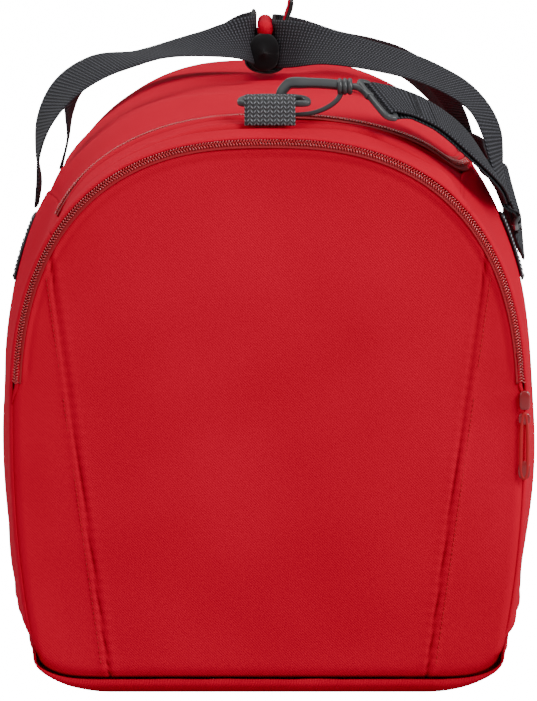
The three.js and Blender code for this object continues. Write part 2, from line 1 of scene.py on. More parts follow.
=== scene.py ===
"""The looks of a red hockey equipment bag: twill cloth, coil zips, ribbed webbing and moulded hardware.

Every shape is worked out in millimetres in the CAD frame (+X right, +Y to the rear, +Z up) and turned
into metres when its mesh is made.
"""

import logging
import math
from dataclasses import dataclass, field
from enum import Enum
from typing import Callable, Optional, Sequence

import bpy
import numpy as np
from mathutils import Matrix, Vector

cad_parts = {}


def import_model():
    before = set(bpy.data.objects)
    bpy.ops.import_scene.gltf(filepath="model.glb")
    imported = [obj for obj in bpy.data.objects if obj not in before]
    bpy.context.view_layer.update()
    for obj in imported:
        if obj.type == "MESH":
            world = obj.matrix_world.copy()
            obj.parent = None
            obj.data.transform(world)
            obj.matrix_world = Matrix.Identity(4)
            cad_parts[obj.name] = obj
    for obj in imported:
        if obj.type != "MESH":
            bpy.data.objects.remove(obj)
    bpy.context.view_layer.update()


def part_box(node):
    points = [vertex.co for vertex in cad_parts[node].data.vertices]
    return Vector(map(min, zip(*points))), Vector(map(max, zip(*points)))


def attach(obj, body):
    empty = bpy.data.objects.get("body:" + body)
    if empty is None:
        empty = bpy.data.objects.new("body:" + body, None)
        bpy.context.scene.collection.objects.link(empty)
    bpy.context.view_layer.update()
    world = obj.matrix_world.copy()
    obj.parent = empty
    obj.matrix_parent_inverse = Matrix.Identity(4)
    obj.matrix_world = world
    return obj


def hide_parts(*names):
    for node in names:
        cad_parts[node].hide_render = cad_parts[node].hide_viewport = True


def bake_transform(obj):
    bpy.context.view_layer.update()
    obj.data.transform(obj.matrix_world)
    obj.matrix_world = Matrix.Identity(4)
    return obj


LOG = logging.getLogger("bag")
MM = 0.001
Array = np.ndarray
Piece = bpy.types.Object
Material = bpy.types.Material
Socket = bpy.types.NodeSocket


class End(Enum):
    """The two ends of the bag, with the sign of Y at each."""

    FRONT = -1
    REAR = 1

    @property
    def word(self) -> str:
        """The end's name, as the CAD nodes have it."""
        return self.name.lower()

    @property
    def outwards(self) -> Array:
        """The direction that the end faces."""
        return np.array([0, float(self.value), 0])


# ---- Mesh making

def smoothstep(x: Array, low: float, high: float) -> Array:
    """Rises smoothly from 0 at low to 1 at high: 3t^2 - 2t^3."""
    t = np.clip((np.asarray(x, float) - low) / (high - low), 0, 1)
    return t * t * (3 - 2 * t)


def bell(x: Array, width: float) -> Array:
    """A bell of height 1 and this half-width: exp(-(x / width)^2)."""
    return np.exp(-((np.asarray(x, float) / width) ** 2))


def unit(v: Array) -> Array:
    """Each vector of the last axis, at length 1."""
    return v / np.maximum(np.linalg.norm(v, axis=-1, keepdims=True), 1e-12)


def spline(points: Sequence[Sequence[float]], count: int) -> Array:
    """A smooth curve through the points.

    Args:
        points: the points it goes through; further columns, such as directions, are carried along in step.
        count: how many points to give back, evenly spaced along its length, or 0 for the dense curve.

    Returns:
        The curve's points. It is the centripetal Catmull-Rom cubic: a Hermite curve whose knots are the square
        roots of the distances between neighbouring points.
    """
    p = np.asarray(points, float)
    p = np.vstack([2 * p[0] - p[1], p, 2 * p[-1] - p[-2]])
    knots = np.maximum(np.linalg.norm(np.diff(p[:, :3], axis=0), axis=1, keepdims=True) ** 0.5, 1e-3)
    at = np.linspace(0, len(p) - 3 - 1e-9, 30 * len(p))
    k = at.astype(int)
    t = (at - k)[:, None]
    p0, p1, p2, p3 = (p[k + i] for i in range(4))
    d0, d1, d2 = (knots[k + i] for i in range(3))
    m1 = ((p1 - p0) / d0 - (p2 - p0) / (d0 + d1) + (p2 - p1) / d1) * d1
    m2 = ((p2 - p1) / d1 - (p3 - p1) / (d1 + d2) + (p3 - p2) / d2) * d1
    dense = p1 + m1 * t + (3 * (p2 - p1) - 2 * m1 - m2) * t**2 + (2 * (p1 - p2) + m1 + m2) * t**3
    return resample(dense, count) if count else dense


def resample(path: Array, count: int) -> Array:
    """The same path with its points evenly spaced along its length.

    Args:
        path: count x k, of which every column is carried along.
        count: how many points to give back.

    Returns:
        The new points.
    """
    run = run_along(path)
    at = np.linspace(0, run[-1], count)
    return np.stack([np.interp(at, run, path[:, k]) for k in range(path.shape[1])], axis=1)


def tangents(path: Array, closed: bool = False) -> Array:
    """Unit directions along a path, from the points before and after each.

    Args:
        path: the path's points.
        closed: whether its last point joins its first.

    Returns:
        A direction for each point.
    """
    if closed:
        return unit(np.roll(path, -1, axis=0) - np.roll(path, 1, axis=0))
    return unit(np.gradient(path, axis=0))


def run_along(path: Array) -> Array:
    """The distance along a path at each of its points."""
    return np.concatenate([[0], np.cumsum(np.linalg.norm(np.diff(path, axis=0), axis=1))])


def bent(values: Array, power: float) -> Array:
    """A superellipse's bend of cosines and sines: sign(c) |c|^power."""
    return np.sign(values) * np.abs(values) ** power


def rounded_ends(share: Array, power: float, least: float) -> Array:
    """A width that is 1 along a strip and closes at its ends: sqrt(1 - |share|^power), never below least."""
    return np.sqrt(np.maximum(1 - np.abs(share) ** power, least))


def node_box(node: str) -> tuple[Array, Array]:
    """The low and high corners of a CAD node's box, in millimetres."""
    low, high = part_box(node)
    return np.array(low) / MM, np.array(high) / MM


def finish_mesh(name: str, vertices: Array, faces: Sequence, uv: Optional[Array] = None) -> Piece:
    """Makes a smooth-shaded object from points in millimetres.

    Args:
        name: the piece's name.
        vertices: count x 3, in millimetres.
        faces: faces as rows of vertex numbers.
        uv: a pair for each vertex, in millimetres along the cloth, or None.

    Returns:
        The object, at the origin, linked to the scene.
    """
    mesh = bpy.data.meshes.new(name)
    mesh.from_pydata((np.asarray(vertices) * MM).tolist(), [], [list(map(int, f)) for f in faces])
    mesh.polygons.foreach_set("use_smooth", np.ones(len(mesh.polygons), bool))
    if uv is not None:
        layer = mesh.uv_layers.new(name="cloth")
        corner = np.empty(len(mesh.loops), np.int32)
        mesh.loops.foreach_get("vertex_index", corner)
        layer.data.foreach_set("uv", np.asarray(uv, np.float32)[corner].ravel())
    mesh.update()
    piece = bpy.data.objects.new(name, mesh)
    bpy.context.scene.collection.objects.link(piece)
    return piece


def grid_faces(rows: int, columns: int, closed_rows: bool = False, closed_columns: bool = False) -> Array:
    """The four-sided faces of a grid whose vertices are numbered row by row.

    Args:
        rows: the grid's rows.
        columns: the grid's columns.
        closed_rows: whether the last row joins the first.
        closed_columns: whether the last column joins the first.

    Returns:
        A row of four vertex numbers for each face.
    """
    i = np.arange(rows if closed_rows else rows - 1)
    j = np.arange(columns if closed_columns else columns - 1)
    i, j = (a.ravel() for a in np.meshgrid(i, j, indexing="ij"))
    i2, j2 = (i + 1) % rows, (j + 1) % columns
    return np.stack([i * columns + j, i2 * columns + j, i2 * columns + j2, i * columns + j2], axis=1)


def add_attribute(piece: Piece, name: str, values: Array) -> None:
    """Gives each vertex a number that the materials read, such as how deep in a crease it is."""
    attribute = piece.data.attributes.new(name, "FLOAT", "POINT")
    attribute.data.foreach_set("value", np.asarray(values, np.float32).ravel())


def open_cloth(piece: Piece) -> Piece:
    """Marks a padded or swept piece as open cloth, with no painted crease shade anywhere."""
    add_attribute(piece, "crease", np.zeros(len(piece.data.vertices)))
    return piece


def cloth(name: str, grid: Array, outwards: Array, uv: Array, crease: Array,
          thick: float = 1.4) -> Piece:
    """A sheet of cloth on a grid of points, thickened inwards.

    Args:
        name: the piece's name.
        grid: rows x columns x 3 points of its outer face.
        outwards: the way its outer face looks.
        uv: rows x columns x 2, along the cloth in millimetres.
        crease: rows x columns of painted shade, from 0 on open cloth to 1 at the bottom of a seam; the twill darkens
            its colour by it.
        thick: the cloth's thickness.

    Returns:
        The object, with a live Solidify modifier.
    """
    rows, columns = grid.shape[:2]
    faces = grid_faces(rows, columns)
    normal = unit(np.cross(np.gradient(grid, axis=0), np.gradient(grid, axis=1)))
    if np.sum(normal * outwards) < 0:
        faces = faces[:, ::-1]
    piece = finish_mesh(name, grid.reshape(-1, 3), faces, uv.reshape(-1, 2))
    add_attribute(piece, "crease", crease)
    solid = piece.modifiers.new("thickness", "SOLIDIFY")
    solid.thickness = thick * MM
    solid.offset = -1
    return piece


def sweep(name: str, path: Array, side: Array, section: Array, closed: bool = False,
          scale: Optional[Array] = None, uv_width: Optional[Array] = None) -> Piece:
    """Carries a closed section along a path.

    Args:
        name: the piece's name.
        path: count x 3 points.
        side: the section's X direction at each point, or one direction for all.
        section: k x 2 points; X lies along side and Y along the face normal.
        closed: whether the path joins up.
        scale: the section's size at each point, 1 if None.
        uv_width: the cloth distance across for each section point, for webbing.

    Returns:
        The object. Each vertex is path + x * side + y * (direction x side).
    """
    along = tangents(path, closed)
    side = np.broadcast_to(np.asarray(side, float), path.shape)
    side = unit(side - along * np.sum(side * along, axis=1, keepdims=True))
    face = np.cross(along, side)
    size = np.ones(len(path)) if scale is None else np.asarray(scale)
    ring = section[None] * size[:, None, None]
    points = path[:, None] + ring[..., :1] * side[:, None] + ring[..., 1:] * face[:, None]
    count, k = points.shape[:2]
    faces = list(grid_faces(count, k, closed_rows=closed, closed_columns=True))
    after = np.roll(section, -1, axis=0)
    turning = np.sum(section[:, 0] * after[:, 1] - section[:, 1] * after[:, 0])
    if turning >= 0:
        faces = [f[::-1] for f in faces]
    if not closed:
        first, last = np.arange(k), (count - 1) * k + np.arange(k)
        caps = [first[::-1], last] if turning > 0 else [first, last[::-1]]
        faces += caps
    uv = None
    if uv_width is not None:
        run = run_along(path)
        uv = np.stack(np.broadcast_arrays(run[:, None], uv_width[None]), axis=-1).reshape(-1, 2)
    return finish_mesh(name, points.reshape(-1, 3), faces, uv)


def oval(half_x: float, half_y: float, count: int = 12, power: float = 2.0) -> Array:
    """A superellipse section: x = a cos^(2/n), y = b sin^(2/n).

    Args:
        half_x: a, half its width.
        half_y: b, half its height.
        count: how many points it has.
        power: n: 2 for an ellipse, and boxier above that.

    Returns:
        count x 2 points.
    """
    turn = np.linspace(0, 2 * np.pi, count, endpoint=False)
    return np.stack([half_x * bent(np.cos(turn), 2 / power), half_y * bent(np.sin(turn), 2 / power)], axis=1)


def scatter(name: str, template: Array, faces: Array, at: Array, x: Array, y: Array, z: Array) -> Piece:
    """Many copies of a small shape in one mesh: each vertex is place + x * axis + y * axis + z * axis.

    Args:
        name: the piece's name.
        template: the small shape's vertices.
        faces: its faces.
        at: the copies' places.
        x: the direction of the template's X at each place.
        y: the direction of its Y.
        z: the direction of its Z.

    Returns:
        The object that holds them all.
    """
    axes = np.stack([x, y, z], axis=1)
    points = at[:, None] + np.einsum("vk,nkc->nvc", template, axes)
    order = (faces[None] + (np.arange(len(at)) * len(template))[:, None, None]).reshape(-1, faces.shape[1])
    handed = np.sum(np.cross(x, y) * z)
    return finish_mesh(name, points.reshape(-1, 3), order if handed > 0 else order[:, ::-1])


def bead(half_x: float, half_y: float, half_z: float, sides: int = 8) -> tuple[Array, Array]:
    """A small rounded bar along X: four rings of an oval, drawn in at both ends, in triangles and fans.

    Args:
        half_x: half its length.
        half_y: half its width.
        half_z: half its height.
        sides: points round each ring.

    Returns:
        Its vertices and its triangles.
    """
    places = np.array([-1.0, -0.7, 0.7, 1.0]) * half_x
    sizes = np.array([0.35, 1.0, 1.0, 0.35])
    turn = np.linspace(0, 2 * np.pi, sides, endpoint=False)
    ring = np.stack([np.zeros(sides), half_y * np.cos(turn), half_z * np.sin(turn)], axis=1)
    rings = ring[None] * sizes[:, None, None] + np.array([1.0, 0, 0]) * places[:, None, None]
    vertices = np.vstack([rings.reshape(-1, 3), [[-half_x, 0, 0], [half_x, 0, 0]]])
    faces = grid_faces(4, sides, closed_columns=True)[:, ::-1]
    faces = np.vstack([faces[:, [0, 1, 2]], faces[:, [0, 2, 3]]])
    k = np.arange(sides)
    k2 = (k + 1) % sides
    low = np.stack([np.full(sides, 4 * sides), k2, k], axis=1)
    high = np.stack([np.full(sides, 4 * sides + 1), 3 * sides + k, 3 * sides + k2], axis=1)
    return vertices, np.vstack([faces, low, high])


def dress(piece: Piece, material: Material, body: str, slot: str,
          *nodes: str) -> Piece:
    """Gives a piece its material, attaches it to its body and hides the CAD nodes that it stands for.

    Args:
        piece: the finished piece.
        material: its material.
        body: the body that it rides on.
        slot: not used.
        *nodes: the CAD nodes that it stands for.

    Returns:
        The same piece.
    """
    piece.data.materials.clear()
    piece.data.materials.append(material)
    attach(piece, body)
    if nodes:
        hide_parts(*nodes)
    return piece


def dress_blend(piece: Piece, material: Material, bodies: tuple[str, str],
                start: Array, end: Array, slot: str, *nodes: str) -> Piece:
    """Gives cloth that crosses a joint between two bodies its material, hides the CAD nodes that it stands for and
    bakes its transform; it is attached to neither body.

    Args:
        piece: the finished piece.
        material: its material.
        bodies: not used.
        start: not used.
        end: not used.
        slot: not used.
        *nodes: the CAD nodes that it stands for.

    Returns:
        The same piece.
    """
    piece.data.materials.clear()
    piece.data.materials.append(material)
    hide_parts(*nodes)
    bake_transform(piece)
    return piece


# ---- Shader groups and finishes

class Graph:
    """A node tree with short ways to add and join nodes."""

    def __init__(self, tree: bpy.types.NodeTree) -> None:
        """Keeps the tree."""
        self.tree = tree

    def add(self, kind: str, **values: object) -> bpy.types.Node:
        """Adds a node.

        Args:
            kind: the node's type.
            **values: its properties by name.

        Returns:
            The node.
        """
        node = self.tree.nodes.new(kind)
        for name, value in values.items():
            setattr(node, name, value)
        return node

    def put(self, socket: Socket, value: object) -> None:
        """Joins an output to a socket, or sets the socket's own value.

        Args:
            socket: the input to fill.
            value: an output socket or a plain value.
        """
        if isinstance(value, Socket):
            self.tree.links.new(value, socket)
        else:
            socket.default_value = value

    def math(self, operation: str, a: object, b: object = 0.0) -> Socket:
        """A Math node.

        Args:
            operation: what it works out.
            a: its first input.
            b: its second input.

        Returns:
            Its result.
        """
        node = self.add("ShaderNodeMath", operation=operation)
        self.put(node.inputs[0], a)
        self.put(node.inputs[1], b)
        return node.outputs[0]

    def mix(self, factor: object, a: object, b: object) -> Socket:
        """A mix of two colours.

        Args:
            factor: how much of b there is, from 0 to 1.
            a: the colour at 0.
            b: the colour at 1.

        Returns:
            The mixed colour.
        """
        node = self.add("ShaderNodeMix", data_type="RGBA", clamp_factor=True)
        self.put(node.inputs[0], factor)
        self.put(node.inputs[6], a)
        self.put(node.inputs[7], b)
        return node.outputs[2]

    def noise(self, vector: object, scale: object, detail: float = 2.0) -> Socket:
        """Soft noise between 0 and 1.

        Args:
            vector: where it is read.
            scale: how fine it is.
            detail: how many finer layers it has.

        Returns:
            The noise.
        """
        node = self.add("ShaderNodeTexNoise")
        self.put(node.inputs["Vector"], vector)
        self.put(node.inputs["Scale"], scale)
        node.inputs["Detail"].default_value = detail
        return node.outputs[0]

    def band(self, value: object, low: float, high: float) -> Socket:
        """A smooth step.

        Args:
            value: what is compared.
            low: where the result is still 0.
            high: where it reaches 1.

        Returns:
            The step, between 0 and 1.
        """
        node = self.add("ShaderNodeMapRange", interpolation_type="SMOOTHSTEP")
        self.put(node.inputs["Value"], value)
        node.inputs["From Min"].default_value = low
        node.inputs["From Max"].default_value = high
        return node.outputs[0]


def make_group(name: str, inputs: dict[str, tuple[str, object]], outputs: Sequence[str],
               build: Callable[[Graph, dict], dict]) -> bpy.types.NodeTree:
    """A shader node group with named sockets.

    Args:
        name: the group's name.
        inputs: socket name to (socket type, default value).
        outputs: names of its value outputs.
        build: given the graph and the input sockets by name, returns the output sockets by name.

    Returns:
        The group's node tree.
    """
    tree = bpy.data.node_groups.new(name, "ShaderNodeTree")
    for key, (kind, value) in inputs.items():
        socket = tree.interface.new_socket(key, in_out="INPUT", socket_type=kind)
        if value is not None:
            socket.default_value = value
    for key in outputs:
        tree.interface.new_socket(key, in_out="OUTPUT", socket_type="NodeSocketFloat")
    graph = Graph(tree)
    source = graph.add("NodeGroupInput")
    sink = graph.add("NodeGroupOutput")
    made = build(graph, {key: source.outputs[key] for key in inputs})
    for key in outputs:
        graph.put(sink.inputs[key], made[key])
    return tree


def build_twill(graph: Graph, given: dict) -> dict:
    """Diagonal ribs crossed by the yarns: sin(2 pi (u + v) / p) plus a quicker cross wave, roughened by noise.

    Args:
        graph: the group's graph.
        given: its input sockets by name.

    Returns:
        Its output sockets by name.
    """
    split = graph.add("ShaderNodeSeparateXYZ")
    graph.put(split.inputs[0], given["Vector"])
    turns = graph.math("DIVIDE", 2 * math.pi, given["Pitch"])
    u = graph.math("MULTIPLY", split.outputs[0], turns)
    v = graph.math("MULTIPLY", split.outputs[1], turns)
    diagonal = graph.math("SINE", graph.math("ADD", u, v))
    cross = graph.math("SINE", graph.math("MULTIPLY", graph.math("SUBTRACT", u, v), 1.7))
    rough = graph.noise(given["Vector"], 0.9, 3.0)
    height = graph.math("MULTIPLY_ADD", diagonal, 0.34)
    height.node.inputs[2].default_value = 0.5
    height = graph.math("ADD", height, graph.math("MULTIPLY", cross, 0.16))
    height = graph.math("ADD", height, graph.math("MULTIPLY", graph.math("SUBTRACT", rough, 0.5), 0.5))
    return {"Height": height}


def build_ribs(graph: Graph, given: dict) -> dict:
    """Webbing: ribs across the band with a finer herringbone along it, |sin| of both.

    Args:
        graph: the group's graph.
        given: its input sockets by name.

    Returns:
        Its output sockets by name.
    """
    split = graph.add("ShaderNodeSeparateXYZ")
    graph.put(split.inputs[0], given["Vector"])
    turns = graph.math("DIVIDE", math.pi, given["Pitch"])
    slant = graph.math("PINGPONG", split.outputs[1], 2.4)
    along = graph.math("ADD", split.outputs[0], graph.math("MULTIPLY", slant, given["Slant"]))
    rib = graph.math("ABSOLUTE", graph.math("SINE", graph.math("MULTIPLY", along, turns)))
    yarn = graph.math("ABSOLUTE", graph.math("SINE", graph.math("MULTIPLY", split.outputs[1], 1.31)))
    height = graph.math("MULTIPLY", rib, graph.math("ADD", graph.math("MULTIPLY", yarn, 0.45), 0.55))
    return {"Height": height, "Glint": graph.band(height, 0.72, 0.98)}


def build_fade(graph: Graph, given: dict) -> dict:
    """Slow changes of shade over the cloth and fine specks, both from noise.

    Args:
        graph: the group's graph.
        given: its input sockets by name.

    Returns:
        Its output sockets by name.
    """
    slow = graph.band(graph.noise(given["Vector"], given["Scale"], 3.0), 0.32, 0.68)
    fine = graph.noise(given["Vector"], graph.math("MULTIPLY", given["Scale"], 60.0), 2.0)
    return {"Slow": slow, "Fine": fine}


class Palette:
    """The shader groups and one material for each finish."""

    def __init__(self) -> None:
        """Builds the groups."""
        vector, number = "NodeSocketVector", "NodeSocketFloat"
        self.twill = make_group(
            "Twill weave", {"Vector": (vector, None), "Pitch": (number, 1.5)}, ["Height"], build_twill)
        self.ribs = make_group(
            "Webbing ribs", {"Vector": (vector, None), "Pitch": (number, 2.0), "Slant": (number, 0.4)},
            ["Height", "Glint"], build_ribs)
        self.fade = make_group(
            "Fade and specks", {"Vector": (vector, None), "Scale": (number, 6.0)}, ["Slow", "Fine"], build_fade)

    def place(self, graph: Graph, tree: bpy.types.NodeTree, vector: object, **values: float) -> bpy.types.Node:
        """Puts a group in a material, with its own values.

        Args:
            graph: the material's graph.
            tree: the group.
            vector: where its pattern is read.
            **values: the other inputs by name.

        Returns:
            The group's node.
        """
        node = graph.add("ShaderNodeGroup", node_tree=tree)
        graph.put(node.inputs["Vector"], vector)
        for key, value in values.items():
            node.inputs[key].default_value = value
        return node


@dataclass(frozen=True)
class Finish:
    """What every finish has: two shades of its colour, and how it takes the light."""

    name: str
    colour: tuple[float, float, float]
    shade: tuple[float, float, float]
    roughness: float
    sheen: float = 0.0
    sheen_tint: tuple[float, float, float] = (1.0, 1.0, 1.0)
    specular: float = 0.5
    bump: float = 0.3
    bump_mm: float = 0.25
    pitch: float = 1.5

    def start(self) -> tuple[Material, Graph, bpy.types.Node, Socket, Socket]:
        """A new material with its shader set.

        Returns:
            The material, its graph, the Principled BSDF, Object coordinates and the cloth's UV map.
        """
        material = bpy.data.materials.new(self.name)
        material.use_nodes = True
        graph = Graph(material.node_tree)
        shader = material.node_tree.nodes["Principled BSDF"]
        shader.inputs["Roughness"].default_value = self.roughness
        shader.inputs["Sheen Weight"].default_value = self.sheen
        shader.inputs["Sheen Roughness"].default_value = 0.45
        shader.inputs["Sheen Tint"].default_value = (*self.sheen_tint, 1)
        shader.inputs["Specular IOR Level"].default_value = self.specular
        place = graph.add("ShaderNodeTexCoord").outputs["Object"]
        uv = graph.add("ShaderNodeUVMap", uv_map="cloth").outputs[0]
        return material, graph, shader, place, uv

    def raise_bump(self, graph: Graph, shader: bpy.types.Node, height: Socket) -> None:
        """Feeds a height into the shader's normal.

        Args:
            graph: the material's graph.
            shader: its Principled BSDF.
            height: the height, from 0 to 1.
        """
        node = graph.add("ShaderNodeBump")
        node.inputs["Strength"].default_value = self.bump
        node.inputs["Distance"].default_value = self.bump_mm * MM
        graph.put(node.inputs["Height"], height)
        graph.put(shader.inputs["Normal"], node.outputs[0])


@dataclass(frozen=True)
class TwillFinish(Finish):
    """Polyester twill: a fine diagonal weave, slow fading, and painted shade in its creases and seams."""

    def make(self, palette: Palette) -> Material:
        """Builds the material.

        Args:
            palette: the shader groups.

        Returns:
            The material.
        """
        material, graph, shader, place, uv = self.start()
        weave = palette.place(graph, palette.twill, uv, Pitch=self.pitch)
        fade = palette.place(graph, palette.fade, place, Scale=7.0)
        # painted shade: the per-vertex crease amount darkens the colour towards 0.45 times the shade tone, in creases,
        # seams and welts
        crease = graph.add("ShaderNodeAttribute", attribute_name="crease").outputs["Fac"]
        deep = tuple(0.45 * c for c in self.shade)
        weave_shade = graph.math("MULTIPLY", graph.math("SUBTRACT", 1.0, weave.outputs[0]), 0.55)
        faded = graph.mix(graph.math("MULTIPLY", fade.outputs["Slow"], 0.35), (*self.colour, 1), (*self.shade, 1))
        woven = graph.mix(weave_shade, faded, (*self.shade, 1))
        graph.put(shader.inputs["Base Color"], graph.mix(crease, woven, (*deep, 1)))
        self.raise_bump(graph, shader, weave.outputs[0])
        return material


@dataclass(frozen=True)
class WebbingFinish(Finish):
    """Ribbed webbing with painted glints on the crowns of its yarns."""

    glint: tuple[float, float, float] = (0.2, 0.2, 0.22)
    glint_share: float = 0.5
    slant: float = 0.4

    def make(self, palette: Palette) -> Material:
        """Builds the material.

        Args:
            palette: the shader groups.

        Returns:
            The material.
        """
        material, graph, shader, place, uv = self.start()
        ribs = palette.place(graph, palette.ribs, uv, Pitch=self.pitch, Slant=self.slant)
        fade = palette.place(graph, palette.fade, place, Scale=14.0)
        base = graph.mix(ribs.outputs["Height"], (*self.shade, 1), (*self.colour, 1))
        # painted highlight: the glint colour is mixed into the base colour on the crowns of the ribs, flecked by the
        # fine noise
        lit = graph.math("MULTIPLY", ribs.outputs["Glint"], self.glint_share)
        lit = graph.math("MULTIPLY", lit, graph.math("ADD", fade.outputs["Fine"], 0.2))
        graph.put(shader.inputs["Base Color"], graph.mix(lit, base, (*self.glint, 1)))
        self.raise_bump(graph, shader, ribs.outputs["Height"])
        return material


@dataclass(frozen=True)
class MouldedFinish(Finish):
    """Moulded plastic or lacquered metal: fine grain, with shine that changes a little over it."""

    grain: float = 900.0

    def make(self, palette: Palette) -> Material:
        """Builds the material.

        Args:
            palette: the shader groups.

        Returns:
            The material.
        """
        material, graph, shader, place, _ = self.start()
        fade = palette.place(graph, palette.fade, place, Scale=self.grain / 60)
        graph.put(shader.inputs["Base Color"], graph.mix(fade.outputs["Slow"], (*self.colour, 1), (*self.shade, 1)))
        rough = graph.math("ADD", graph.math("MULTIPLY", fade.outputs["Slow"], 0.14), self.roughness - 0.07)
        graph.put(shader.inputs["Roughness"], rough)
        self.raise_bump(graph, shader, fade.outputs["Fine"])
        return material


RED = TwillFinish("red_twill", (0.6, 0.0012, 0.027), (0.42, 0.0006, 0.014), 0.72, sheen=0.02,
                  sheen_tint=(1.0, 0.08, 0.2), specular=0.04, bump=0.5, bump_mm=0.4, pitch=2.0)
RED_TAPE = TwillFinish("zip_tape", (0.42, 0.006, 0.016), (0.2, 0.002, 0.006), 0.6, specular=0.3, bump=0.3,
                       pitch=1.2)
PADDING = TwillFinish("black_padding", (0.0035, 0.0035, 0.0042), (0.0015, 0.0015, 0.002), 0.85, sheen=0.12,
                      specular=0.2, bump=0.5, bump_mm=0.4, pitch=1.4)
COIL = MouldedFinish("zip_coil", (0.5, 0.006, 0.016), (0.36, 0.003, 0.009), 0.2, specular=0.9, bump=0.05)
THREAD = MouldedFinish("red_thread", (0.48, 0.004, 0.012), (0.36, 0.002, 0.007), 0.5, specular=0.3, bump=0.1)
PLASTIC = MouldedFinish("grey_plastic", (0.052, 0.055, 0.058), (0.035, 0.037, 0.04), 0.36, specular=0.55, bump=0.12,
                        bump_mm=0.1)
LACQUER = MouldedFinish("red_slider", (0.3, 0.002, 0.008), (0.22, 0.001, 0.005), 0.16, specular=0.7, bump=0.05)
WEBBING = WebbingFinish("charcoal_webbing", (0.024, 0.024, 0.03), (0.003, 0.003, 0.004), 0.7, sheen=0.02,
                        specular=0.2, bump=1.0, bump_mm=0.8, pitch=2.9, glint=(0.11, 0.112, 0.13), glint_share=0.9,
                        slant=0.35)
PATCH = WebbingFinish("patch_weave", (0.04, 0.043, 0.052), (0.008, 0.009, 0.011), 0.5, specular=0.6, bump=1.0,
                      bump_mm=0.7, pitch=3.0, glint=(0.55, 0.6, 0.66), glint_share=1.0, slant=0.9)
TAB = WebbingFinish("chevron_tab", (0.018, 0.019, 0.024), (0.0035, 0.0035, 0.0045), 0.5, specular=0.6, bump=0.9,
                    bump_mm=0.6, pitch=3.2, glint=(0.42, 0.45, 0.5), glint_share=0.5, slant=1.0)


# ---- The body's form

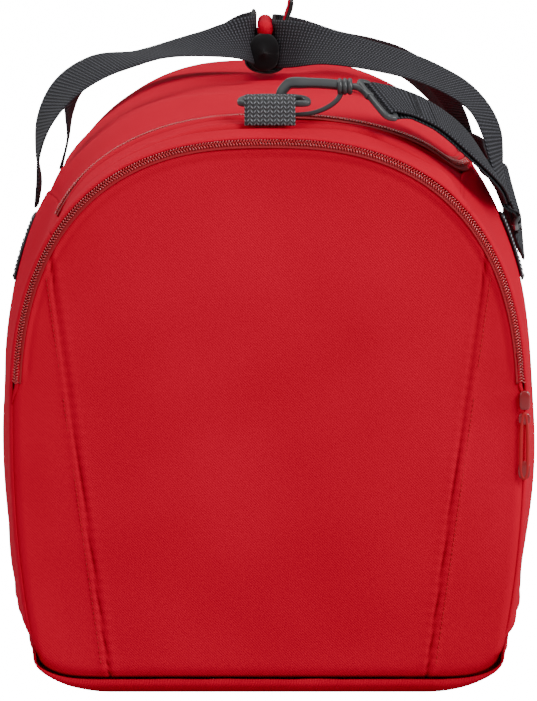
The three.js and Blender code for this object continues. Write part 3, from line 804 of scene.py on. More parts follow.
@dataclass
class BodyForm:
    """The shell's surface, as the CAD has it: a superellipse dome on sides that pull in to the base."""

    half_width: float
    height: float
    end_plane: float
    shoulder: float = 200.0
    power: float = 2.5
    tuck: float = 0.1146
    tuck_power: float = 2.28
    end_half_width: float = 186.0
    end_height: float = 404.0
    taper_start: float = 230.0
    taper_power: float = 1.2
    base_rise: float = 31.0
    base_flat: float = 118.0
    base_edge: float = 181.0
    end_curl: float = 12.0
    slump_z: float = 322.0
    slump_width: float = 78.0
    slump_middle: float = 0.012
    slump_ends: float = 0.07
    table: Array = field(init=False)

    def __post_init__(self) -> None:
        """Lays out the outline as rows of s, x, z from the top centre to the side seam."""
        turn = np.linspace(0, np.pi / 2, 500)
        x = self.half_width * np.sin(turn) ** (2 / self.power)
        z = self.shoulder + (self.height - self.shoulder) * np.maximum(np.cos(turn), 0) ** (2 / self.power)
        drop = np.linspace(0, self.shoulder - self.base_rise, 200)[1:]
        x = np.concatenate([x, self.half_width * (1 - self.tuck * (drop / self.shoulder) ** self.tuck_power)])
        z = np.concatenate([z, self.shoulder - drop])
        s = np.concatenate([[0], np.cumsum(np.hypot(np.diff(x), np.diff(z)))])
        self.table = np.stack([s, x, z])

    @classmethod
    def from_frame(cls) -> "BodyForm":
        """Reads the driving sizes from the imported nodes."""
        lid, side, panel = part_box("lid_panel"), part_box("left_side_panel"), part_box("front_lower_panel")
        return cls(half_width=-side[0][0] / MM, height=lid[1][2] / MM, end_plane=-panel[0][1] / MM)

    @property
    def end_scale(self) -> float:
        """How much narrower the ends are than the middle."""
        return self.end_half_width / self.half_width

    def distance_at_x(self, x: float) -> float:
        """Cloth distance from the top centre to this half-width on the dome."""
        return float(np.interp(x, self.table[1][:500], self.table[0][:500]))

    def distance_at_z(self, z: float) -> float:
        """Cloth distance from the top centre down to this height."""
        return float(np.interp(-z, -self.table[2], self.table[0]))

    def taper(self, y: Array) -> Array:
        """0 in the middle of the bag and 1 at its ends."""
        share = (np.abs(y) - self.taper_start) / (self.end_plane - self.taper_start)
        return np.clip(share, 0, 1) ** self.taper_power

    def point(self, s: Array, y: Array) -> Array:
        """Points of the surface: the outline at cloth distance s, drawn in by the taper at length y.

        Args:
            s: distance along the cloth from the top centre, negative on the left.
            y: length from the middle of the bag.

        Returns:
            The points, with x, y, z last.
        """
        s, y = np.broadcast_arrays(np.asarray(s, float), np.asarray(y, float))
        x = np.sign(s) * np.interp(np.abs(s), self.table[0], self.table[1])
        z = np.interp(np.abs(s), self.table[0], self.table[2])
        t = self.taper(y)
        x = x * (1 - self.slump(z, y))
        high = 1 - t * (1 - (self.end_height - self.shoulder) / (self.height - self.shoulder))
        above = z - self.shoulder
        z = self.shoulder + above * np.where(above > 0, high, 1)
        return np.stack([x * (1 - t * (1 - self.end_scale)), y, z], axis=-1)

    def slump(self, z: Array, y: Array) -> Array:
        """How far the shoulders sink: a little in the middle, most between the handles and the ends, none at the ends.

        Args:
            z: height.
            y: length from the middle of the bag.

        Returns:
            The share of its width that the cloth loses.
        """
        reach = np.abs(y)
        whole = 1 - smoothstep(reach, 338, 372)
        between = smoothstep(reach, 200, 262) * whole
        deep = self.slump_middle * whole + (self.slump_ends - self.slump_middle) * between
        return deep * bell(z - self.slump_z, self.slump_width)

    def normal(self, s: Array, y: Array) -> Array:
        """Outward unit normals, from points half a millimetre to each side.

        Args:
            s: distance along the cloth from the top centre.
            y: length from the middle of the bag.

        Returns:
            The normals.
        """
        step = 0.5
        along_s = self.point(s + step, y) - self.point(s - step, y)
        along_y = self.point(s, y + step) - self.point(s, y - step)
        return unit(np.cross(along_s, along_y))

    def raised(self, s: Array, y: Array, relief: Array) -> Array:
        """Points lifted off the surface by relief along its normals."""
        return self.point(s, y) + self.normal(s, y) * np.asarray(relief)[..., None]

    def end_width(self, z: Array, inset: Array) -> Array:
        """Half-width of the end panel.

        Args:
            z: height.
            inset: how far the edge is moved in.

        Returns:
            The half-width at each height.
        """
        z = np.asarray(z, float)
        low = self.half_width * (1 - self.tuck * (np.maximum(self.shoulder - z, 0) / self.shoulder) ** self.tuck_power)
        share = np.clip((z - self.shoulder) / (self.end_height - self.shoulder - inset), 0, 1)
        high = (self.end_half_width - inset) * (1 - share**self.power) ** (1 / self.power)
        return np.where(z <= self.shoulder, low * self.end_scale - inset, high)

    def arch(self, inset: float, z_from: float, count: int) -> Array:
        """The rim of the end, from the left over the top to the right.

        Args:
            inset: how far it is moved in.
            z_from: the height of its two feet.
            count: how many points it has.

        Returns:
            Rows of x, z.
        """
        width, rise = self.end_half_width - inset, self.end_height - self.shoulder - inset
        start = math.asin(((z_from - self.shoulder) / rise) ** (self.power / 2))
        turn = np.linspace(math.pi - start, start, 6 * count)
        x = width * bent(np.cos(turn), 2 / self.power)
        return resample(np.stack([x, self.shoulder + rise * np.sin(turn) ** (2 / self.power)], axis=1), count)

    def base_height(self, x: Array, scale: float) -> Array:
        """Height of the base's side curve at x, for a base narrowed by scale."""
        share = np.clip((np.abs(x) / scale - self.base_flat) / (self.base_edge - self.base_flat), 0, 1)
        return self.base_rise * (1 - np.sqrt(1 - share * share))


def undulation(u: Array, v: Array, seed: int, size: float, waves: int = 7, shortest: float = 55.0,
               longest: float = 190.0) -> Array:
    """Soft unevenness of cloth: a sum of slow sine waves in seeded directions.

    Args:
        u: the first distance along the cloth.
        v: the second.
        seed: the seed of the directions, lengths and phases.
        size: how high it is at most.
        waves: how many waves are added up.
        shortest: the shortest wave.
        longest: the longest wave.

    Returns:
        The height at each point.
    """
    draw = np.random.default_rng(seed)
    total = np.zeros(np.broadcast(u, v).shape)
    for _ in range(waves):
        turn, phase = draw.uniform(0, 2 * np.pi, 2)
        length = draw.uniform(shortest, longest)
        total = total + np.sin(2 * np.pi * (u * math.cos(turn) + v * math.sin(turn)) / length + phase)
    return size * total / waves


# ---- Zips

@dataclass
class Zip:
    """A coil zip along a path: two tapes and two rows of slanting coil turns that mesh."""

    pitch: float = 2.1
    tooth: tuple[float, float, float] = (1.5, 0.62, 0.7)
    overlap: float = 1.2
    slant: float = 0.45
    lift: float = 0.8
    tape: tuple[float, float] = (0.6, 6.6)
    tape_thick: float = 0.7

    def side(self, name: str, path: Array, normal: Array, sign: int, coil: Material,
             tape: Material, body: str, node: str) -> None:
        """Makes one side of the zip.

        Args:
            name: the start of its pieces' names.
            path: points along the closed zip's line.
            normal: outward directions there.
            sign: 1 for the side on the path's right, seen from outside, and -1 for its left.
            coil: the coil's material.
            tape: the tape's material.
            body: the body it rides on.
            node: the CAD node it stands for.
        """
        along = tangents(path)
        right = unit(np.cross(along, normal))
        run = run_along(path)
        at = np.arange(0.5 if sign > 0 else 0.5 + self.pitch / 2, run[-1], self.pitch)
        pick = lambda values: np.stack([np.interp(at, run, values[:, k]) for k in range(3)], axis=1)
        place, way, up = pick(path), unit(pick(along)), unit(pick(normal))
        out = unit(np.cross(way, up)) * sign
        bar = unit(out + self.slant * way)
        vertices, faces = bead(*self.tooth)
        teeth = scatter(f"{name}_coil", vertices, faces, place + out * self.overlap + up * self.lift, bar,
                        unit(np.cross(up, bar)), up)
        dress(teeth, coil, body, "zip_coil")
        near, far = self.tape
        across = np.linspace(near, far, 7)
        grid = path[:, None] + right[:, None] * (sign * across)[None, :, None] - normal[:, None] * 0.15
        uv = np.stack(np.broadcast_arrays(run[:, None], across[None]), axis=-1)
        outwards = np.broadcast_to(normal[:, None], grid.shape)
        strip = cloth(f"{name}_tape", grid, outwards, uv, np.zeros(grid.shape[:2]), self.tape_thick)
        dress(strip, tape, body, "zip_coil", node)


# ---- The cloth shell

@dataclass
class Shell:
    """The sides, gussets, base, lid and end panels, each one smooth cloth surface."""

    form: BodyForm
    red: Material
    tape: Material
    coil: Material
    thread: Material
    hinge_x: float = 168.0
    lid_right_x: float = 150.0
    lid_half_length: float = 315.0
    lid_corner: float = 85.0
    fold_z: float = 228.0
    zip_inset: float = 4.0
    seam_foot: float = 114.7
    seam_foot_z: float = 15.0
    seam_slope: float = 0.135
    divider_y: float = 322.0
    cover: float = 3.3
    corner: float = 2.1
    zip_rise: float = 0.7
    rim_radius: float = 9.0
    zip_rim_radius: float = 4.0
    divider_slack: float = 9.0
    stitch_pitch: float = 3.6
    stitch_gap: float = 5.2
    stitch_top: float = 308.0

    def __post_init__(self) -> None:
        """Works out the lid's edges along the cloth."""
        self.s_hinge = self.form.distance_at_x(self.hinge_x)
        self.s_right = self.form.distance_at_x(self.lid_right_x)
        self.s_seam = self.form.distance_at_z(self.form.base_rise + 1.5)

    def lid_half(self, s: Array, offset: float) -> Array:
        """Half the lid's length: straight, then a quarter circle at its right corners.

        Args:
            s: distance along the cloth.
            offset: how far the outline is moved out.

        Returns:
            The half-length at each s.
        """
        radius = self.lid_corner + offset
        beyond = np.clip(s - (self.s_right - self.lid_corner), 0, radius)
        return self.lid_half_length - self.lid_corner + np.sqrt(radius * radius - beyond * beyond)

    def lid_rows(self, offset: float, count: int) -> Array:
        """Cloth distances from the hinge to the lid's right edge, closer together round the corner.

        Args:
            offset: how far the outline is moved out.
            count: points along the straight stretch.

        Returns:
            The distances.
        """
        corner, radius = self.s_right - self.lid_corner, self.lid_corner + offset
        turn = np.linspace(0, np.pi / 2, count // 3)[1:]
        return np.concatenate([np.linspace(-self.s_hinge, corner, count), corner + radius * np.sin(turn)])

    def build_lid(self) -> None:
        """The dome of the lid, from its hinge to its right edge, with a welt beside the zip."""
        offset = -self.cover
        s = self.lid_rows(offset, 120)[:, None]
        half = self.lid_half(s, offset)
        v = np.linspace(-1, 1, 190)[None]
        y = v * half
        s = np.broadcast_to(s, y.shape)
        edge = np.minimum(half - np.abs(y), self.s_right + offset - s)
        relief = undulation(s, y, 11, 2.2) * smoothstep(edge, 0, 40) - 4.0 * bell(y, 120) * bell(s, 160)
        welt = 0.5 * bell(edge, 3.0) + 0.7 * bell(edge - 2.6, 1.8) - 0.7 * bell(edge - 6.2, 1.6)
        relief = relief + self.softness(s, y) + welt
        relief = relief - 1.0 * bell(s + self.s_hinge - 4, 3.5)
        # painted shade at the zip edge and in the groove behind the welt
        crease = 0.3 * bell(edge - 6.2, 1.2) + 0.5 * bell(edge, 0.8)
        grid = self.form.raised(s, y, relief)
        piece = cloth("lid_cloth", grid, self.form.normal(s, y), np.stack([s, y], axis=-1), crease)
        start, end = self.form.point(-self.s_hinge - 3, 0), self.form.point(-self.s_hinge + 14, 0)
        dress_blend(piece, self.red, ("shell", "lid"), start, end, "red_cloth", "lid_panel")
        LOG.info("lid: %d points", grid.shape[0] * grid.shape[1])

    def lid_line(self) -> tuple[Array, Array]:
        """The lid zip's line, from the hinge at the front round to the hinge at the rear.

        Returns:
            Its points and the outward normals there.
        """
        s = self.lid_rows(0.0, 60)
        front = np.stack([s, -self.lid_half(s, 0.0)], axis=1)
        line = resample(np.vstack([front, front[::-1] * [1, -1]]), 420)
        s, y = line[:, 0], line[:, 1]
        return self.form.raised(s, y, self.softness(s, y) + self.zip_rise), self.form.normal(s, y)

    def build_lid_zip(self) -> None:
        """The two sides of the lid zip."""
        path, normal = self.lid_line()
        for part, sign, body in (("body", 1, "shell"), ("lid", -1, "lid")):
            name = f"lid_zip_{part}"
            Zip().side(name, path, normal, sign, self.coil, self.tape, body, f"{name}_side")

    def upper(self, s: Array) -> Array:
        """0 on the cloth below the end zip and 1 beside it."""
        z = np.interp(np.abs(s), self.form.table[0], self.form.table[2])
        return smoothstep(z, self.fold_z - 12, self.fold_z + 10)

    def edge_plane(self, s: Array) -> Array:
        """How far along the bag the cloth's edge is: up to the coil above, and at the seam's corner below."""
        return self.form.end_plane + 0.7 - 3.3 * (1 - self.upper(s))

    def rim_pull(self, distance: Array, upper: Array) -> Array:
        """How far the cloth turns in before a rim: a quarter circle, and a smaller one beside the zip.

        Args:
            distance: how far the cloth is from the rim.
            upper: 0 below the end zip and 1 beside it.

        Returns:
            The depth at each point.
        """
        radius = self.rim_radius + (self.zip_rim_radius - self.rim_radius) * upper
        share = np.clip(1 - distance / radius, 0, 1)
        return radius * (1 - np.sqrt(1 - share * share)) * (1 - 0.62 * upper)

    def shell_relief(self, s: Array, y: Array) -> Array:
        """Unevenness shared by the sides and gussets, so that they meet, and the turn of their edge at the ends."""
        return self.softness(s, y) - self.rim_pull(self.form.end_plane + 0.7 - np.abs(y), self.upper(s))

    def softness(self, s: Array, y: Array) -> Array:
        """Slow unevenness of the whole shell, none at the base and the ends."""
        soft = undulation(s, y, 23, 3.0, shortest=80, longest=260) * smoothstep(self.s_seam - np.abs(s), 0, 60)
        return soft * smoothstep(self.form.end_plane - np.abs(y), 0, 40)

    def right_welt(self, distance: Array, y: Array) -> Array:
        """The folded edge beside the straight stretch of the lid zip.

        Args:
            distance: the distance from the zip.
            y: the place along the bag.

        Returns:
            How far the cloth stands out.
        """
        corner = self.lid_half_length - self.lid_corner
        folded = 0.7 * bell(distance, 3.5) + 0.8 * bell(distance - 2.6, 1.8) - 0.7 * bell(distance - 6.2, 1.6)
        return folded * (1 - smoothstep(np.abs(y), corner, corner + 25))

    def build_side(self, sign: int, name: str) -> None:
        """One side wall, from the lid's edge down to the seam with the base.

        Args:
            sign: -1 on the left and 1 on the right.
            name: left or right.
        """
        top = self.s_hinge if sign < 0 else self.s_right + self.cover
        share = np.linspace(-1, 1, 280)
        s, share = np.meshgrid(np.linspace(top, self.s_seam, 130), bent(share, 0.8), indexing="ij")
        ends = self.edge_plane(s)
        y = share * ends
        low = self.s_seam - s
        relief = self.shell_relief(sign * s, y)
        puckers = undulation(y, s, 31 + sign, 2.6, shortest=18, longest=46)
        inside = smoothstep(ends - np.abs(y), 0, 26)
        relief = relief + inside * (puckers * bell(low - 16, 16) * smoothstep(low, 0, 8) + 1.2 * bell(low - 22, 12))
        relief = relief - 5.5 * bell(low, 9)
        if sign > 0:
            relief = relief + self.right_welt(s - top, y)
        # painted shade in the seam with the base, and behind the right welt
        crease = 0.8 * bell(low, 2.5) + 0.3 * bell(s - top - 6.2, 1.2) * (sign > 0)
        grid = self.form.raised(sign * s, y, relief)
        piece = cloth(f"{name}_side_cloth", grid, self.form.normal(sign * s, y), np.stack([s, y], axis=-1), crease)
        dress(piece, self.red, "shell", "red_cloth", f"{name}_side_panel")

    def build_gusset(self, end: End) -> None:
        """The strip between the two zips over one end, with the fold that forms along its middle.

        Args:
            end: which end.
        """
        offset = self.cover
        s = self.lid_rows(offset, 130)[:, None]
        inner = self.lid_half(s, offset)
        outer = self.edge_plane(s)
        v = np.linspace(0, 1, 64)[None] ** 0.9
        y = inner + (outer - inner) * v
        s = np.broadcast_to(s, y.shape)
        depth = outer - y
        fold = 27 + 3 * np.sin(s / 43.0)
        along = bell((s - 20) / 120, 1.0)
        join = smoothstep(np.minimum(s + self.s_hinge, self.s_right + offset - s), 0, 30)
        relief = self.shell_relief(s, y)
        wrinkle = undulation(s, y, 41 + end.value, 1.2, shortest=35, longest=120)
        relief = relief + join * wrinkle * smoothstep(depth, 0, 20)
        across = depth - fold
        relief = relief + along * (2.4 * bell(across - 7, 6) - 2.4 * bell(across, 2.4) + 1.2 * bell(across + 7, 6))
        puff = bell(s - self.s_right + 12, 24) * join
        relief = relief + puff * 5.0 * bell(depth - 22, 14)
        edge = y - inner
        relief = relief + 0.75 * bell(edge, 3.5) + join * (0.4 * bell(edge - 3.0, 1.8) - 0.7 * bell(edge - 6.6, 1.8))
        # painted shade in the middle fold and behind the welt beside the zip
        crease = 0.5 * along * bell(across, 1.8) + 0.3 * bell(edge - 6.2, 1.2)
        y = y * end.value
        grid = self.form.raised(s, y, relief)
        piece = cloth(f"{end.word}_gusset_cloth", grid, self.form.normal(s, y), np.stack([s, y], axis=-1), crease)
        dress(piece, self.red, "shell", "red_cloth", f"{end.word}_gusset")

    def build_base(self) -> None:
        """The base: flat, turned up at its sides, with a rolled edge that swells below the seam."""
        form = self.form
        bend = form.base_flat / form.base_edge
        u = np.concatenate([np.linspace(0, bend, 16), np.linspace(bend, 1, 34)[1:]])
        u = np.concatenate([-u[:0:-1], u])
        flat = form.end_plane - form.end_curl
        v = np.concatenate([np.linspace(0, 1, 60), np.linspace(1, 2, 16)[1:]])
        v = np.concatenate([-v[:0:-1], v])
        u, v = np.meshgrid(u, v, indexing="ij")
        curl = np.maximum(np.abs(v) - 1, 0) * np.pi / 2
        y = np.sign(v) * (np.minimum(np.abs(v), 1) * flat + form.end_curl * np.sin(curl))
        narrow = 1 - form.taper(y) * (1 - form.end_scale)
        across = np.abs(u) * form.base_edge
        side = form.base_height(across, 1.0)
        end_rise = form.end_curl * (1 - np.cos(curl))
        grid = np.stack([np.sign(u) * across * narrow, y, np.hypot(side, end_rise)], axis=-1)
        swell = 2.6 * bell(side - 20, 11) * (side > 0.5) + 1.6 * bell(end_rise - 8, 5) * (curl > 0)
        turn = [np.sign(u) * smoothstep(side, 0, 20), np.sign(v) * smoothstep(curl, 0, 1), -0.2 * np.ones_like(u)]
        turn = unit(np.stack(turn, axis=-1))
        ripple = undulation(grid[..., 0], grid[..., 1], 51, 1.3, shortest=20, longest=60)
        ripple = ripple * smoothstep(side + end_rise, 2, 14)
        grid = grid + turn * (swell + ripple)[..., None] * smoothstep(side + end_rise, 1, 8)[..., None]
        grid[..., 2] = np.maximum(grid[..., 2], 0.0)
        # painted shade along the seams with the sides and the ends
        side_seam, end_seam = bell(side - form.base_rise, 2.2), bell(end_rise - form.end_curl, 1.2)
        crease = 0.5 * np.maximum(side_seam * (side > 1), end_seam * (curl > 0))
        uv = np.stack([across * np.sign(u), y], axis=-1)
        piece = cloth("base_cloth", grid, np.array([0, 0, -1.0]), uv, crease)
        dress(piece, self.red, "shell", "red_cloth", "base_panel")

    def end_grid(self, rows: int, columns: int, inset: float, lift: float) -> Array:
        """A grid of x, z over the end's outline.

        Args:
            rows: points up.
            columns: points across.
            inset: how far the dome's edge is from the rim.
            lift: how far the bottom edge is above the base's curve.

        Returns:
            rows x columns x 2. It is a Coons patch: the mean of the bottom-to-top and side-to-side blends
            of the four edges, less the blend of the corners.
        """
        form = self.form
        v, u = np.linspace(0, 1, rows)[:, None, None], np.linspace(0, 1, columns)[None, :, None]
        foot_x = np.linspace(-1, 1, columns) * (form.base_edge * form.end_scale - 0.4 * inset)
        foot = np.stack([foot_x, np.hypot(form.base_height(foot_x, form.end_scale), form.end_curl) + lift], axis=1)
        top = form.arch(inset, self.fold_z, columns)
        z = np.linspace(foot[0, 1], self.fold_z, rows)
        wide = form.end_width(z, self.corner)
        beyond = form.end_width(self.fold_z, self.corner) - top[-1, 0]
        wide = wide - beyond * smoothstep(z, self.fold_z - 20, self.fold_z)
        wide = wide + (foot_x[-1] - wide[0]) * bell(z - z[0], 6)
        right = np.stack([wide, z], axis=1)
        left = right * [-1, 1]
        corners = (1 - v) * ((1 - u) * foot[0] + u * foot[-1]) + v * ((1 - u) * top[0] + u * top[-1])
        return (1 - v) * foot[None] + v * top[None] + (1 - u) * left[:, None] + u * right[:, None] - corners

    def seam_half(self, z: Array) -> Array:
        """Half-width between the slanting seams at height z."""
        return self.seam_foot + (z - self.seam_foot_z) * self.seam_slope

    def build_end(self, end: End) -> None:
        """The end panel: one cloth over the lower panel and the flap, with its two slanting seams.

        Args:
            end: which end.
        """
        form = self.form
        detail = 200 if end is End.FRONT else 150
        flat = self.end_grid(detail, detail, self.zip_inset + 2.7, 0.6)
        x, z = flat[..., 0], flat[..., 1]
        rim = form.end_width(z, 0.0) - np.abs(x)
        low = z - np.hypot(form.base_height(x, form.end_scale), form.end_curl)
        high = np.maximum(z - form.shoulder, 0) / (form.end_height - form.shoulder)
        ring = (np.abs(x) / form.end_half_width) ** form.power + high**form.power
        dome = (1 - np.minimum(ring, 1) ** (1 / form.power)) * form.end_half_width
        pillow = 5.5 * smoothstep(np.minimum(rim, dome), 0, 110) * smoothstep(low, 0, 120)
        seam = np.abs(x) - self.seam_half(z)
        pucker = 0.28 * np.sin(2 * np.pi * z / 7.5 + np.sign(x)) * bell(seam, 6)
        relief = pillow + pucker - 1.3 * bell(seam, 1.1) + 0.55 * bell(seam - 3.8, 2.6) + 0.3 * bell(seam + 3.4, 2.6)
        uneven = undulation(x, z, 61 + end.value, 1.5, shortest=60, longest=200)
        relief = relief + uneven * smoothstep(low, 0, 40) * smoothstep(rim, 0, 30)
        below = smoothstep(-z, -self.fold_z - 12, -self.fold_z + 6)
        relief = relief - self.rim_pull(rim, 0.0 * z) * below - 2.4 * bell(low, 5)
        edge = dome - self.zip_inset - 2.7
        upper = smoothstep(z, self.fold_z - 6, self.fold_z + 14)
        relief = relief + upper * (0.8 * bell(edge - 2.4, 1.8) - 0.35 * bell(edge - 6.2, 1.8))
        # painted shade in the slanting seams, along the base, behind the zip welt and at the rim's corner
        crease = 0.7 * bell(seam, 0.8) + 0.5 * bell(low, 1.5) + 0.14 * upper * bell(edge - 6.2, 1.3)
        crease = crease + 0.25 * below * bell(rim - self.corner, 1.0)
        grid = np.stack([x, end.value * (form.end_plane - 0.6 + relief), z], axis=-1)
        piece = cloth(f"{end.word}_end_cloth", grid, end.outwards, np.stack([x, z], axis=-1), np.clip(crease, 0, 1))
        kinds = ("panel", "left_gore", "right_gore")
        nodes = [f"{end.word}_{part}_{kind}" for part in ("lower", "flap") for kind in kinds]
        plane = end.value * form.end_plane
        dress_blend(piece, self.red, ("shell", f"{end.word}_flap"), np.array([0, plane, self.fold_z - 8]),
                    np.array([0, plane, self.fold_z + 8]), "red_cloth", *nodes)
        self.build_topstitch(end, pillow, x, z)

    def build_topstitch(self, end: End, pillow: Array, x: Array, z: Array) -> None:
        """Stitches beside each slanting seam, one piece below the fold and one above it.

        Args:
            end: which end.
            pillow: how far the cloth swells out at each point of its grid.
            x: the grid's x.
            z: the grid's z.
        """
        vertices, faces = bead(1.25, 0.28, 0.28, 6)
        runs = ((24.0, self.fold_z - 12, "shell", "lower"),
                (self.fold_z + 12, self.stitch_top, f"{end.word}_flap", "flap"))
        for low, high, body, word in runs:
            heights = np.arange(low, high, self.stitch_pitch)
            both = np.concatenate([heights, heights])
            sign = np.repeat([-1.0, 1.0], len(heights))
            across = sign * (self.seam_half(both) + self.stitch_gap)
            near = self.nearest(pillow, x, z, across, both)
            place = np.stack([across, end.value * (self.form.end_plane - 0.1 + near), both], axis=1)
            way = unit(np.stack([sign * self.seam_slope, np.zeros_like(sign), np.ones_like(sign)], axis=1))
            out = np.broadcast_to(end.outwards, way.shape)
            piece = scatter(f"{end.word}_{word}_topstitch", vertices, faces, place, way, np.cross(out, way), out)
            dress(piece, self.thread, body, "red_cloth")

    @staticmethod
    def nearest(values: Array, x: Array, z: Array, at_x: Array, at_z: Array) -> Array:
        """The values of a grid's points that are nearest to the given places."""
        gap = (x.ravel()[None] - at_x[:, None]) ** 2 + (z.ravel()[None] - at_z[:, None]) ** 2
        return values.ravel()[np.argmin(gap, axis=1)]

    def build_end_zip(self, end: End) -> None:
        """The zip round the end flap's rim.

        Args:
            end: which end.
        """
        line = self.form.arch(self.zip_inset, self.fold_z - 1, 330)
        plane = np.full(len(line), end.value * (self.form.end_plane - 0.4))
        path = np.stack([line[:, 0], plane, line[:, 1]], axis=1)
        way = tangents(path)
        outward = unit(np.cross(way, [0.0, 1.0, 0.0]))
        outward = outward * np.sign(np.sum(outward * (path - [0, 0, self.form.shoulder]), axis=1))[:, None]
        normal = unit(end.outwards + 0.45 * outward)
        maker = Zip(tape=(0.6, 4.4))
        outer = 1 if np.sum(np.cross(way, normal) * outward) > 0 else -1
        for part, sign, body in (("body", outer, "shell"), ("flap", -outer, f"{end.word}_flap")):
            name = f"{end.word}_zip_{part}"
            maker.side(name, path, normal, sign, self.coil, self.tape, body, f"{name}_side")

    def build_divider(self, end: End) -> None:
        """The wall between an end pocket and the main compartment, slack in its middle.

        Args:
            end: which end.
        """
        form = self.form
        flat = self.end_grid(60, 60, 4.0, 5.0)
        share = form.taper(self.divider_y)
        low = (form.end_height - form.shoulder) / (form.height - form.shoulder)
        z = flat[..., 1] + np.maximum(flat[..., 1] - form.shoulder, 0) * ((1 - share * (1 - low)) / low - 1)
        wide = (1 - share * (1 - form.end_scale)) / form.end_scale - 0.008
        x = flat[..., 0] * wide * (1 - form.slump(z, self.divider_y))
        slack = self.divider_slack * bell(x, 110) * bell(z - 190, 120) + undulation(x, z, 71, 1.5)
        grid = np.stack([x, end.value * (self.divider_y - slack), z], axis=-1)
        piece = cloth(f"{end.word}_divider_cloth", grid, end.outwards, np.stack([x, z], axis=-1), 0 * x, 1.0)
        dress(piece, self.red, "shell", "red_cloth", f"{end.word}_divider")

    def build(self) -> None:
        """Makes the whole cloth shell."""
        self.build_base()
        self.build_side(-1, "left")
        self.build_side(1, "right")
        self.build_lid()
        self.build_lid_zip()
        for end in End:
            self.build_gusset(end)
            self.build_end(end)
            self.build_end_zip(end)
            self.build_divider(end)


# ---- Webbing, hardware and the grip

def both_halves(points: Sequence[Sequence[float]]) -> Array:
    """The front half of a path and its mirror image in Y, as one."""
    half = np.asarray(points, float)
    return np.vstack([half, half[::-1] * [1, -1, 1]])


def seated(piece: Piece, node: str) -> Piece:
    """Moves a finished mesh so that the middle of its box is the middle of a CAD node's box.

    Args:
        piece: the piece to move.
        node: the CAD node.

    Returns:
        The same piece.
    """
    points = np.empty(len(piece.data.vertices) * 3, np.float32)
    piece.data.vertices.foreach_get("co", points)
    points = points.reshape(-1, 3) / MM
    low, high = node_box(node)
    points = (points + (low + high) / 2 - (points.min(axis=0) + points.max(axis=0)) / 2) * MM
    piece.data.vertices.foreach_set("co", points.astype(np.float32).ravel())
    piece.data.update()
    return piece


def mirrored(points: Array, end: End) -> Array:
    """Front-end points as they are, or mirrored in Y for the rear end."""
    return np.asarray(points, float) * [1, -end.value, 1]


def band_section(width: float, thick: float, count: int = 13) -> tuple[Array, Array]:
    """Webbing's section, with rounded selvedges a little thicker than its middle.

    Args:
        width: the band's width.
        thick: its thickness.
        count: points across each face.

    Returns:
        The outline as count * 2 x 2 and the distance across for each point.
    """
    x = np.sin(np.linspace(-1, 1, count) * np.pi / 2) * width / 2
    share = np.abs(x) / (width / 2)
    half = thick / 2 * rounded_ends(share, 14, 0.02) * (1 + 0.22 * bell(share - 0.9, 0.07))
    outline = np.vstack([np.stack([x, -half], axis=1), np.stack([x, half], axis=1)[::-1]])
    return outline, np.concatenate([x, x[::-1]])


@dataclass
class Band:
    """A length of webbing along a curve."""

    points: Array
    across: Array
    width: float = 38.0
    thick: float = 2.0

    def line(self, step: float = 1.8) -> tuple[Array, Array]:
        """The curve and its across directions, evenly spaced.

        Args:
            step: about how far apart its points are.

        Returns:
            The points and the across direction at each.
        """
        both = spline(np.hstack([self.points, self.across]), 0)
        run = run_along(both[:, :3])
        at = np.linspace(0, run[-1], int(run[-1] / step))
        both = np.stack([np.interp(at, run, both[:, k]) for k in range(6)], axis=1)
        return both[:, :3], both[:, 3:]

    def make(self, name: str) -> Piece:
        """The band as a mesh.

        Args:
            name: the piece's name.

        Returns:
            The piece.
        """
        path, across = self.line()
        outline, distance = band_section(self.width, self.thick)
        return sweep(name, path, across, outline, uv_width=distance)


